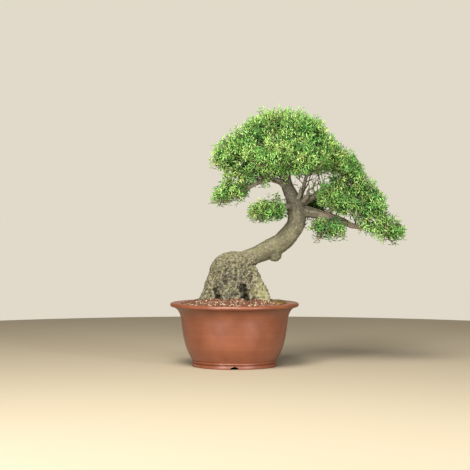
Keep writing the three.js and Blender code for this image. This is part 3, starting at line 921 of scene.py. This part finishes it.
# %% Plan the twigs that carry the shoots
def plan_twigs(name, wood_tree):
    """Lines from the wood to each tuft's middle and from there to each shoot, with their thickness in mm."""
    feet, bends, tips = shoots[name][:3]
    low, high = (np.array(corner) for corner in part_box(name))
    centre = (low + high) / 2
    middles = []
    for foot in rng.permutation(feet):
        pulled = foot + 0.3 * (centre - foot)
        if all(np.sum((pulled - m) ** 2) > (TUFT_SPACING * MM) ** 2 for m in middles):
            middles.append(pulled)
    middles = np.array(middles)
    lines = []
    for middle in middles:
        start = np.array(wood_tree.find(middle.tolist())[0])
        span = np.linalg.norm(middle - start)
        bow = rng.normal(0, 0.08, 3) * span + np.array([0, 0, 0.06 * span])
        first, second = start + (middle - start) * 0.35 + bow, start + (middle - start) * 0.7 + bow * 0.8
        lines.append(([start, first, second, middle], [2.4, 1.9, 1.6, 1.2]))
    nearest = np.argmin(np.sum((feet[:, None] - middles[None]) ** 2, axis=2), axis=1)
    for foot, bend, tip, k in zip(feet, bends, tips, nearest):
        bow = rng.normal(0, 3, 3) * MM
        points = [middles[k], (middles[k] + foot) / 2 + bow, foot, bend, tip]
        lines.append((points, [1.1, 0.85, 0.6, 0.4, 0.2]))
    return lines


def lines_mesh(name, lines):
    """Lines of points as a mesh of edges, with the thickness kept on its points."""
    places = np.concatenate([points for points, _ in lines])
    thickness = np.concatenate([sizes for _, sizes in lines]) * MM
    edges, start = [], 0
    for points, _ in lines:
        edges += [(start + i, start + i + 1) for i in range(len(points) - 1)]
        start += len(points)
    mesh = mesh_from(name, places, edges=edges)
    mesh.attributes.new("thickness", "FLOAT", "POINT").data.foreach_set("value", thickness.astype(np.float32))
    return mesh


BARE_TRUNK = 195  # how high the trunk is bare, in mm above the rim


def branch_points():
    """A search tree of the wood above the bare trunk, where branches may start."""
    places = places_of(wood.data)
    places = places[from_rim(places)[:, 2] > BARE_TRUNK]
    tree = kdtree.KDTree(len(places))
    for i, place in enumerate(places.tolist()):
        tree.insert(place, i)
    tree.balance()
    return tree


wood_tree = branch_points()
twig_lines = {name: plan_twigs(name, wood_tree) for name in PAD_NAMES}
print("twigs:", sum(len(lines) for lines in twig_lines.values()))

# %% [markdown]
# ### Round twigs from lines
#
# Geometry Nodes turn the planned lines into twigs: each line becomes a smooth curve, and a small ring
# follows it, as wide as the thickness kept on the line. The ends are closed.


# %% Twig tree
def twig_tree():
    tree, given = new_tree("round twigs", [("Sides", "Int", 4), ("Steps", "Int", 5), ("Seed", "Int", 3),
                                           ("Material", "Material", None)])
    curve = add_node(tree, "GeometryNodeMeshToCurve", {"Mesh": given["Geometry"]}).outputs[0]
    bent = add_node(tree, "GeometryNodeCurveSplineType", {"Curve": curve}, spline_type="CATMULL_ROM")
    even = {"Curve": bent.outputs[0], "Count": given["Steps"]}
    curve = add_node(tree, "GeometryNodeResampleCurve", even).outputs[0]
    cell = random_cell(tree, chance(tree, 0.0, 1.0, given["Seed"]), given["Seed"], 0.1)
    curve = keep(tree, curve, "cell", cell, "FLOAT_VECTOR", "CURVE")
    curve = keep(tree, curve, "along", add_node(tree, "GeometryNodeSplineParameter").outputs["Factor"])
    ring = add_node(tree, "GeometryNodeCurvePrimitiveCircle", {"Resolution": given["Sides"], "Radius": 1.0})
    tube = add_node(tree, "GeometryNodeCurveToMesh", {
        "Curve": curve, "Profile Curve": ring.outputs[0], "Scale": kept(tree, "thickness"),
        "Fill Caps": True})
    own_place = vector_from(tree, X=0.5, Y=kept(tree, "along"))
    return end_tree(tree, tube.outputs[0], given["Material"], own_place)


def twig_bark():
    """Young bark: grey-brown to straw-coloured, and duller than a leaf."""
    material, tree, shader = new_material("young grey-brown bark", Roughness=0.75, Specular_IOR_Level=0.3)
    chart = chart_nodes(tree)
    stops = [(0.1, "#63543f"), (0.45, "#857555"), (0.75, "#a89873"), (0.95, "#8d775b")]
    tone = colour_ramp(tree, chart["number"], stops)
    streaks = chart_noise(tree, chart, 5.0)
    dark = stretched(tree, streaks, 0.4, 0.7, 0.0, 0.6)
    plug(tree, shader, mix_colours(tree, dark, tone, linear("#4a3a29")))
    return material


def fork_twigs():
    """Short, crooked dead twigs in the open space over the fork, as lines with their thickness in mm."""
    lines = []
    for _ in range(FORK_TWIGS):
        foot = to_metres(rng.uniform((192, -22, 292), (262, 18, 318)))
        start = np.array(wood_tree.find(foot.tolist())[0])
        rise = rng.uniform((-30, -24, 22), (34, 20, 62)) * MM
        crooks = [start + rise * share + rng.normal(0, 4, 3) * MM for share in (0.35, 0.7, 1.0)]
        lines.append(([start, *crooks], [2.2, 1.6, 1.1, 0.5]))
        side = crooks[1] + rng.uniform((-22, -14, 2), (22, 14, 24)) * MM
        lines.append(([crooks[1], (crooks[1] + side) / 2 + rng.normal(0, 2, 3) * MM, side], [1.1, 0.8, 0.4]))
    return lines


young_bark = twig_bark()
twig_nodes = twig_tree()
USED_UP = ("cell", "along", "thickness")
twigs = []
for name in PAD_NAMES:
    values = {"Sides": 4, "Steps": 6, "Seed": 3, "Material": young_bark}
    twig_name = name.replace("_foliage", "_twigs")
    piece = grown(lines_mesh(name, twig_lines[name]), twig_name, twig_nodes, values, drop=USED_UP)
    smooth(piece)
    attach(piece, "root")
    twigs.append(piece)
values = {"Sides": 5, "Steps": 7, "Seed": 8, "Material": young_bark}
dead = grown(lines_mesh("fork_twigs", fork_twigs()), "fork_twigs", twig_nodes, values, drop=USED_UP)
smooth(dead)
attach(dead, "root")
print("twig triangles:", sum(triangles(p) for p in twigs), "over the fork", triangles(dead))

# %% [markdown]
# ### One leaf
#
# The leaves are narrow and pointed, about 14 mm long and 4 mm wide, folded a little along the midrib and
# bent down at the tip. Thousands of them are needed, so one leaf has only 16 triangles. It is closed: its
# upper and lower sides share their outline, and only the midrib has any thickness. The leaf, the stone and
# the blade of grass each carry a place from 0 to 1, which the chart needs.


# %% Leaf mesh
def lay_out(mesh, rule):
    """Gives a small mesh its own UV place, by a rule from a vertex's X, Y and Z."""
    layer = mesh.uv_layers.new(name="own_place")
    for loop in mesh.loops:
        layer.data[loop.index].uv = rule(*mesh.vertices[loop.vertex_index].co)
    return mesh


def leaf_mesh():
    """A leaf one unit long, along X, with its upper side towards Z and a UV place from 0 to 1."""
    widths = {0.3: 0.15, 0.64: 0.13}
    fold, bend, rib = 0.07, 0.16, 0.025
    places = [(0, 0, 0), (1, 0, -bend)]
    for x, width in widths.items():
        drop = -bend * x * x
        places += [(x, width, drop), (x, -width, drop), (x, 0, drop - fold), (x, 0, drop - fold - rib)]
    base, tip, left1, right1, top1, low1, left2, right2, top2, low2 = range(10)
    upper = [(base, top1, left1), (left1, top1, top2, left2), (left2, top2, tip),
             (base, right1, top1), (right1, right2, top2, top1), (right2, tip, top2)]
    lower = [tuple({top1: low1, top2: low2}.get(v, v) for v in reversed(face)) for face in upper]
    return lay_out(mesh_from("leaf", places, faces=upper + lower), lambda x, y, z: (x, 0.5 + y * 3))


leaf = new_object("leaf_source", leaf_mesh())
print("leaf triangles:", triangles(leaf))

# %% [markdown]
# ### Leaves along each shoot
#
# The tree of nodes samples each shoot at evenly spaced points, makes two leaves at each point, one on
# either side, and turns each next pair by a quarter turn, as the plant does. Leaves near the tip are
# younger, so they are smaller and stand up closer to the shoot. Each leaf also turns its face a little
# towards the sky.


# %% Leafy shoot tree
def leafy_shoot_tree():
    tree, given = new_tree("leaves in opposite pairs", [
        ("Leaf", "Object", None), ("Pairs", "Int", 5), ("Leaf length", "Float", 0.015), ("Seed", "Int", 1),
        ("Material", "Material", None)])
    seed = given["Seed"]
    curve = add_node(tree, "GeometryNodeMeshToCurve", {"Mesh": given["Geometry"]}).outputs[0]
    curve = add_node(tree, "GeometryNodeResampleCurve", {"Curve": curve, "Count": given["Pairs"]}).outputs[0]
    spline = add_node(tree, "GeometryNodeSplineParameter").outputs
    curve = keep(tree, curve, "along", spline["Factor"])
    curve = keep(tree, curve, "turn", maths(tree, "MULTIPLY", spline["Index"], math.pi / 2))
    points = add_node(tree, "GeometryNodeCurveToPoints", {"Curve": curve}, mode="EVALUATED").outputs
    spots = keep(tree, points["Points"], "ahead", points["Tangent"], "FLOAT_VECTOR")
    spots = keep(tree, spots, "beside", points["Normal"], "FLOAT_VECTOR")
    twice = {"Geometry": spots, "Amount": 2}
    pair = add_node(tree, "GeometryNodeDuplicateElements", twice, domain="POINT").outputs
    ahead = kept(tree, "ahead", "FLOAT_VECTOR")
    along = kept(tree, "along")
    flip = maths(tree, "MULTIPLY_ADD", pair["Duplicate Index"], math.pi, kept(tree, "turn"))
    turned = add_node(tree, "ShaderNodeVectorRotate", {
        "Vector": kept(tree, "beside", "FLOAT_VECTOR"), "Axis": ahead,
        "Angle": maths(tree, "ADD", flip, chance(tree, -0.5, 0.5, seed))}, rotation_type="AXIS_ANGLE")
    steep = stretched(tree, along, 0.0, 1.0, 0.25, 1.1)
    slope = maths(tree, "ADD", steep, chance(tree, -0.25, 0.25, seed))
    aim = vector_maths(tree, "ADD", vector_maths(tree, "SCALE", ahead, Scale=slope), turned.outputs[0])
    sky = vector_maths(tree, "ADD", ahead, (0, 0, 0.8))
    stand = add_node(tree, "FunctionNodeAxesToRotation", {0: aim, 1: sky},
                     primary_axis="X", secondary_axis="Z")
    young = stretched(tree, along, 0.0, 1.0, 1.05, 0.75)
    size = maths(tree, "MULTIPLY", young, chance(tree, 0.75, 1.15, seed))
    size = maths(tree, "MULTIPLY", size, given["Leaf length"])
    shape = add_node(tree, "GeometryNodeObjectInfo", {"Object": given["Leaf"]}).outputs["Geometry"]
    leaves = add_node(tree, "GeometryNodeInstanceOnPoints", {
        "Points": pair["Geometry"], "Instance": shape, "Rotation": stand.outputs[0], "Scale": size})
    # Painted light: leaves near a shoot's tip take a sunnier column of the chart.
    brighter = maths(tree, "MULTIPLY_ADD", along, 0.25, kept(tree, "light"))
    cell = random_cell(tree, brighter, seed, 0.22, kept(tree, "tone"))
    placed = keep(tree, leaves.outputs[0], "cell", cell, "FLOAT_VECTOR", "INSTANCE")
    return end_tree(tree, placed, given["Material"], kept(tree, "own_place", "FLOAT_VECTOR"))


# %% [markdown]
# ### Leaf surface
#
# A living leaf is a little glossy on top, from its wax. Its colour is painted light and shade: it runs from
# dark, shaded green deep in the pad to yellow-green on the sunny outside. The midrib is paler. The chart's
# rows run from fresh blue-green growth to dry, straw-coloured leaves.


# %% Leaf material
def living_leaf():
    material, tree, shader = new_material("small evergreen leaf", Roughness=0.5, Specular_IOR_Level=0.35)
    chart = chart_nodes(tree)
    # Painted light and shade: the chart's column runs from shaded to sunlit green.
    sunlit_stops = [(0.0, "#18351b"), (0.3, "#2d6826"), (0.62, "#579b34"), (1.0, "#aacb6c")]
    dry_stops = [(0.0, "#2b7d38"), (0.4, "#4d9634"), (0.7, "#8a9f4a"), (1.0, "#b09c6c")]
    sunlit = colour_ramp(tree, chart["light"], sunlit_stops)
    green = mix_colours(tree, 0.38, sunlit, colour_ramp(tree, chart["tone"], dry_stops))
    from_rib = maths(tree, "ABSOLUTE", maths(tree, "SUBTRACT", parts_of(tree, chart["inside"])["Y"], 0.5))
    rib = stretched(tree, from_rib, 0.05, 0.02, 0.0, 0.4)
    plug(tree, shader, mix_colours(tree, rib, green, linear("#b9c98a")))
    return material


leaf_surface = living_leaf()
leaf_nodes = leafy_shoot_tree()


def shoot_lines(name):
    """A pad's shoots as lines from foot to tip, with their light and tone."""
    feet, bends, tips, light, tone = shoots[name]
    mesh = lines_mesh(name, [([foot, bend, tip], [0, 0, 0]) for foot, bend, tip in zip(feet, bends, tips)])
    for label, values in (("light", light), ("tone", tone)):
        spread = np.repeat(values, 3).astype(np.float32)
        mesh.attributes.new(label, "FLOAT", "POINT").data.foreach_set("value", spread)
    return mesh


PAIRS, LEAF_LENGTH = 6, 13.5
USED_UP = ("cell", "along", "turn", "ahead", "beside", "light", "tone", "thickness", "own_place")
leaves = []
for index, name in enumerate(PAD_NAMES):
    values = {"Leaf": leaf, "Pairs": PAIRS, "Leaf length": LEAF_LENGTH * MM, "Seed": index,
              "Material": leaf_surface}
    leaves_name = name.replace("_foliage", "_leaves")
    piece = grown(shoot_lines(name), leaves_name, leaf_nodes, values, drop=USED_UP)
    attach(piece, "root")
    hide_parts(name)
    leaves.append(piece)
bpy.data.objects.remove(leaf)
leaf_triangles = {piece.name: triangles(piece) for piece in leaves}
print("leaf triangles:", leaf_triangles, "in all", sum(leaf_triangles.values()))

# %% [markdown]
# ## Gravel
#
# The soil is topped with crushed volcanic rock and clay granules, 3 to 6 mm across, in red-brown, ochre
# and cream. A bed with a rough skin fills the gaps, and loose stones lie on it. The stones are one small
# lump with 48 triangles, which Geometry Nodes scatter with a minimum distance, and turn and size by
# chance.


# %% One stone and one blade
def stone_mesh():
    """A lump about one unit across: a rounded cube, knocked out of shape."""
    shell = bmesh.new()
    bmesh.ops.create_cube(shell, size=1.0)
    bmesh.ops.subdivide_edges(shell, edges=shell.edges, cuts=1, use_grid_fill=True)
    for vertex in shell.verts:
        rounded = vertex.co.normalized() * 0.5
        vertex.co = vertex.co.lerp(rounded, 0.75) + noise.noise_vector(vertex.co * 2.3) * 0.13
    mesh = bpy.data.meshes.new("stone")
    shell.to_mesh(mesh)
    shell.free()
    return lay_out(mesh, lambda x, y, z: (0.5 + x * 0.8, 0.5 + y * 0.5 + z * 0.3))


def blade_mesh():
    """A thin bent blade one unit tall, with three sides."""
    rings = [(0.0, 0.0, 0.09), (0.5, 0.06, 0.06), (0.85, 0.2, 0.03)]
    places = []
    for z, lean, radius in rings:
        for turn in (0, 2 * math.pi / 3, 4 * math.pi / 3):
            places.append((lean + radius * math.cos(turn), radius * math.sin(turn), z))
    places.append((0.34, 0, 1.0))
    faces = [(2, 1, 0)]
    for k in (0, 3):
        faces += [(k + i, k + (i + 1) % 3, k + 3 + (i + 1) % 3, k + 3 + i) for i in range(3)]
    faces += [(6 + i, 6 + (i + 1) % 3, 9) for i in range(3)]
    return lay_out(mesh_from("blade", places, faces=faces), lambda x, y, z: (z, 0.5))


# %% Scatter tree
def scatter_tree():
    tree, given = new_tree("scattered on top", [
        ("Thing", "Object", None), ("Spacing", "Float", 0.004), ("Smallest", "Float", 0.003),
        ("Largest", "Float", 0.006), ("Tilt", "Float", 3.14), ("Lift", "Float", 0.0), ("Seed", "Int", 1),
        ("Material", "Material", None)])
    seed = given["Seed"]
    up = parts_of(tree, add_node(tree, "GeometryNodeInputNormal").outputs[0])["Z"]
    spots = add_node(tree, "GeometryNodeDistributePointsOnFaces", {
        "Mesh": given["Geometry"], "Selection": maths(tree, "GREATER_THAN", up, 0.35),
        "Distance Min": given["Spacing"], "Density Max": 400000.0, "Seed": seed}, distribute_method="POISSON")
    raised = add_node(tree, "GeometryNodeSetPosition", {
        "Geometry": spots.outputs["Points"], "Offset": vector_from(tree, Z=given["Lift"])})
    lean = chance(tree, maths(tree, "MULTIPLY", given["Tilt"], -1.0), given["Tilt"], seed)
    shape = add_node(tree, "GeometryNodeObjectInfo", {"Object": given["Thing"]}).outputs["Geometry"]
    things = add_node(tree, "GeometryNodeInstanceOnPoints", {
        "Points": raised.outputs[0], "Instance": shape,
        "Rotation": vector_from(tree, X=lean, Y=lean, Z=chance(tree, 0.0, 2 * math.pi, seed)),
        "Scale": chance(tree, given["Smallest"], given["Largest"], seed)})
    cell = random_cell(tree, chance(tree, 0.0, 1.0, seed), seed, 0.1)
    placed = keep(tree, things.outputs[0], "cell", cell, "FLOAT_VECTOR", "INSTANCE")
    return end_tree(tree, placed, given["Material"], kept(tree, "own_place", "FLOAT_VECTOR"))


# %% Gravel materials and pieces
def crushed_rock():
    """Loose stones: porous and matt, each its own colour from the chart."""
    material, tree, shader = new_material("crushed volcanic rock", Roughness=0.92, Specular_IOR_Level=0.2)
    chart = chart_nodes(tree)
    stops = [(0.0, "#432c20"), (0.3, "#674333"), (0.6, "#7b5240"), (0.78, "#8f7054"), (0.92, "#a0876a"),
             (0.99, "#bcab8d")]
    tone = colour_ramp(tree, chart["number"], stops)
    pores = stretched(tree, chart_noise(tree, chart, 4.0), 0.45, 0.7, 0.0, 0.5)
    plug(tree, shader, mix_colours(tree, pores, tone, linear("#6b4534")))
    return material


def gravel_bed_material():
    """The bed under the loose stones: the same grains, drawn as a pattern of cells 4 mm wide, with painted
    shade in the gaps between them.
    """
    material, tree, shader = new_material("fine red gravel", Roughness=0.95, Specular_IOR_Level=0.15)
    grains = cells(tree, object_place(tree), 4)
    stops = [(0.0, "#452d21"), (0.5, "#6b4635"), (0.85, "#825b47"), (1.0, "#a3876a")]
    tone = colour_ramp(tree, parts_of(tree, grains["Color"])["X"], stops)
    # Painted shade: the gaps between the grains are painted dark.
    gap_shade = stretched(tree, grains["Distance"], 0.35, 0.7)
    plug(tree, shader, mix_colours(tree, gap_shade, tone, linear("#33231a")), relief=grains["Distance"],
         strength=0.8, depth=1.2, invert=True)
    return material


def roughened_sheet(node, name, voxel, lift, size):
    """A copy of a CAD sheet as an even skin, with its upper side made uneven."""
    piece = remeshed(new_object(name, nodes[node].data.copy()), voxel)
    places = places_of(piece.data)
    up = ramp(normals_of(piece.data)[:, 2], 0.2, 0.7)
    places[:, 2] += up * lift * MM * noise_at(places / MM, size, 4.0)
    move_to(piece.data, places)
    return piece


scatter_nodes = scatter_tree()
bed = roughened_sheet("gravel_layer", "gravel_bed", 3.0, 1.4, 16)
paint(bed, gravel_bed_material())
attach(bed, "root")
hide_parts("gravel_layer")

stone = new_object("stone_source", stone_mesh())
values = {"Thing": stone, "Spacing": 3.6 * MM, "Smallest": 3.0 * MM, "Largest": 6.2 * MM, "Tilt": 3.14,
          "Lift": 0.6 * MM, "Seed": 5, "Material": crushed_rock()}
stones = grown(bed.data.copy(), "gravel_stones", scatter_nodes, values, drop=("cell", "own_place"))
bpy.data.objects.remove(stone)
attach(stones, "root")
print("bed triangles:", triangles(bed), "stone triangles:", triangles(stones))

# %% [markdown]
# ## Moss and dry grass
#
# At the front right a small cushion of moss grows on the gravel, with short dry blades in it, olive to
# straw. The cushion is the CAD solid with a rough skin, and the same scatter tree sets the blades nearly
# upright on it.


# %% Moss pieces
def moss_material():
    material, tree, shader = new_material("dry cushion moss", Roughness=0.95, Specular_IOR_Level=0.1)
    tufts = clouds(tree, object_place(tree), 5, Detail=5.0)
    tone = colour_ramp(tree, tufts, [(0.35, "#3f3a1c"), (0.5, "#74602e"), (0.65, "#96703a")])
    plug(tree, shader, tone, relief=tufts, strength=0.8, depth=1.5)
    return material


def dry_blade():
    material, tree, shader = new_material("dry grass blade", Roughness=0.7, Specular_IOR_Level=0.3)
    stops = [(0.1, "#5d5a2c"), (0.35, "#806c38"), (0.65, "#8a663c"), (0.95, "#a8946c")]
    plug(tree, shader, colour_ramp(tree, chart_nodes(tree)["number"], stops))
    return material


cushion = roughened_sheet("moss_cushion", "moss_cushion_skin", 1.0, 1.2, 5)
paint(cushion, moss_material())
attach(cushion, "root")
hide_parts("moss_cushion")
blade = new_object("blade_source", blade_mesh())
values = {"Thing": blade, "Spacing": 1.5 * MM, "Smallest": 4 * MM, "Largest": 13 * MM, "Tilt": 0.7,
          "Lift": -0.5 * MM, "Seed": 9, "Material": dry_blade()}
blades = grown(cushion.data.copy(), "moss_blades", scatter_nodes, values, drop=("cell", "own_place"))
bpy.data.objects.remove(blade)
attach(blades, "root")
print("moss triangles:", triangles(cushion), "blade triangles:", triangles(blades))

# %% [markdown]
# ## Soil, screen and clip
#
# These pieces keep their CAD shapes, because only a glimpse of them shows through the drain hole. The soil
# is dark and crumbly, the screen is moulded polyethylene, and the clip is bent aluminium wire.


# %% Materials for the hidden pieces
def damp_soil():
    material, tree, shader = new_material("damp potting soil", Roughness=0.97, Specular_IOR_Level=0.1)
    crumbs = clouds(tree, object_place(tree), 6, Detail=8.0)
    tone = colour_ramp(tree, crumbs, [(0.35, "#2a1d15"), (0.52, "#4c3728"), (0.68, "#705440")])
    plug(tree, shader, tone, relief=crumbs, depth=2)
    return material


def moulded_polyethylene():
    material, tree, shader = new_material("moulded dark polyethylene", IOR=1.5)
    dust = clouds(tree, object_place(tree), 8, Detail=4.0)
    tone = colour_ramp(tree, dust, [(0.45, "#26332b"), (0.7, "#5c5244")])
    plug(tree, shader, tone, stretched(tree, dust, 0.0, 1.0, 0.4, 0.8))
    return material


def aluminium_wire():
    material, tree, shader = new_material("soft aluminium wire", Metallic=1.0)
    scuffs = clouds(tree, object_place(tree), 3, Detail=3.0)
    tone = colour_ramp(tree, scuffs, [(0.4, "#8d8a84"), (0.65, "#c4c2bd")])
    plug(tree, shader, tone, stretched(tree, scuffs, 0.0, 1.0, 0.3, 0.55))
    return material


paint(nodes["soil"], damp_soil())
paint(nodes["drain_screen"], moulded_polyethylene())
paint(nodes["screen_clip"], aluminium_wire())

# %% [markdown]
# ## Floor, light and camera
#
# The pot stands on a plain pale floor. Two tall soft panels stand in front, left and right of the camera,
# like windows, so the clay shows two soft upright highlights. A broad panel over the camera lights the
# front, and another above and to the left lights the crown. The world is bright only straight behind the
# tree. The camera is far away with a long lens, above the rim.

# %% Stage
FLOOR_RADIUS, FLOOR_CORNERS = 1.9, 128
turns = [2 * math.pi * i / FLOOR_CORNERS for i in range(FLOOR_CORNERS)]
edge = [(AXIS.x + FLOOR_RADIUS * math.cos(t), FLOOR_RADIUS * math.sin(t), 0) for t in turns]
floor = new_object("floor", mesh_from("floor", edge, faces=[range(FLOOR_CORNERS)]))
pale, tree, shader = new_material("pale floor", Roughness=0.9)
shader.inputs["Base Color"].default_value = linear("#aca089")
floor.data.materials.append(pale)
floor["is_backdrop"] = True

scene = bpy.context.scene
world = bpy.data.worlds.new("studio")
world.use_nodes = True
sky = world.node_tree
towards = add_node(sky, "ShaderNodeTexCoord").outputs["Generated"]
glow = stretched(sky, parts_of(sky, towards)["Y"], 0.94, 0.975, 0.22, 0.84)
sky.nodes["Background"].inputs["Color"].default_value = linear("#f3ebda")
sky.links.new(glow, sky.nodes["Background"].inputs["Strength"])
scene.world = world
scene.view_settings.view_transform = "Standard"


def soft_panel(name, place, target, size, power, colour):
    """A rectangular light at a place from the pot's foot, in metres, facing a target."""
    place = AXIS + Vector(place)
    data = bpy.data.lights.new(name, "AREA")
    data.shape = "RECTANGLE"
    data.size, data.size_y = size
    data.energy = power
    data.color = linear(colour)[:3]
    light = bpy.data.objects.new(name, data)
    light.location = place
    light.rotation_euler = (target - place).to_track_quat("-Z", "Y").to_euler()
    scene.collection.objects.link(light)


middle = AXIS + Vector((0.1, 0, 0.35))
low = AXIS + Vector((0, 0, 0.1))
daylight, lamp = "#eef4ff", "#fffaf0"
soft_panel("left_window", (-1.6, -2.7, 0.6), low, (0.2, 1.1), 66, daylight)
soft_panel("right_window", (2.0, -2.6, 0.6), low, (0.24, 1.1), 60, daylight)
soft_panel("front_panel", (0.1, -3.0, 1.9), middle, (1.0, 0.8), 52, lamp)
soft_panel("top_panel", (-0.45, -1.5, 2.4), middle, (1.2, 1.2), 92, lamp)

CAMERA_DISTANCE = 4.70
CAMERA_HEIGHT = 0.480
LOOK_DOWN = math.radians(1.395)
lens = bpy.data.cameras.new("camera")
lens.lens = 129
lens.sensor_width = 36
camera = bpy.data.objects.new("camera", lens)
camera.location = (AXIS.x + 1.4 * MM, AXIS.y - CAMERA_DISTANCE, CAMERA_HEIGHT)
camera.rotation_euler = (math.pi / 2 - LOOK_DOWN, 0, 0)
scene.collection.objects.link(camera)
scene.camera = camera

# %% Sizes, and finish
visual_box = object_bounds()
for axis in range(3):
    cad_side = (cad_box[1][axis] - cad_box[0][axis]) / MM
    side = (visual_box[1][axis] - visual_box[0][axis]) / MM
    print("XYZ"[axis], f"CAD {cad_side:.0f} mm, visual {side:.0f} mm")
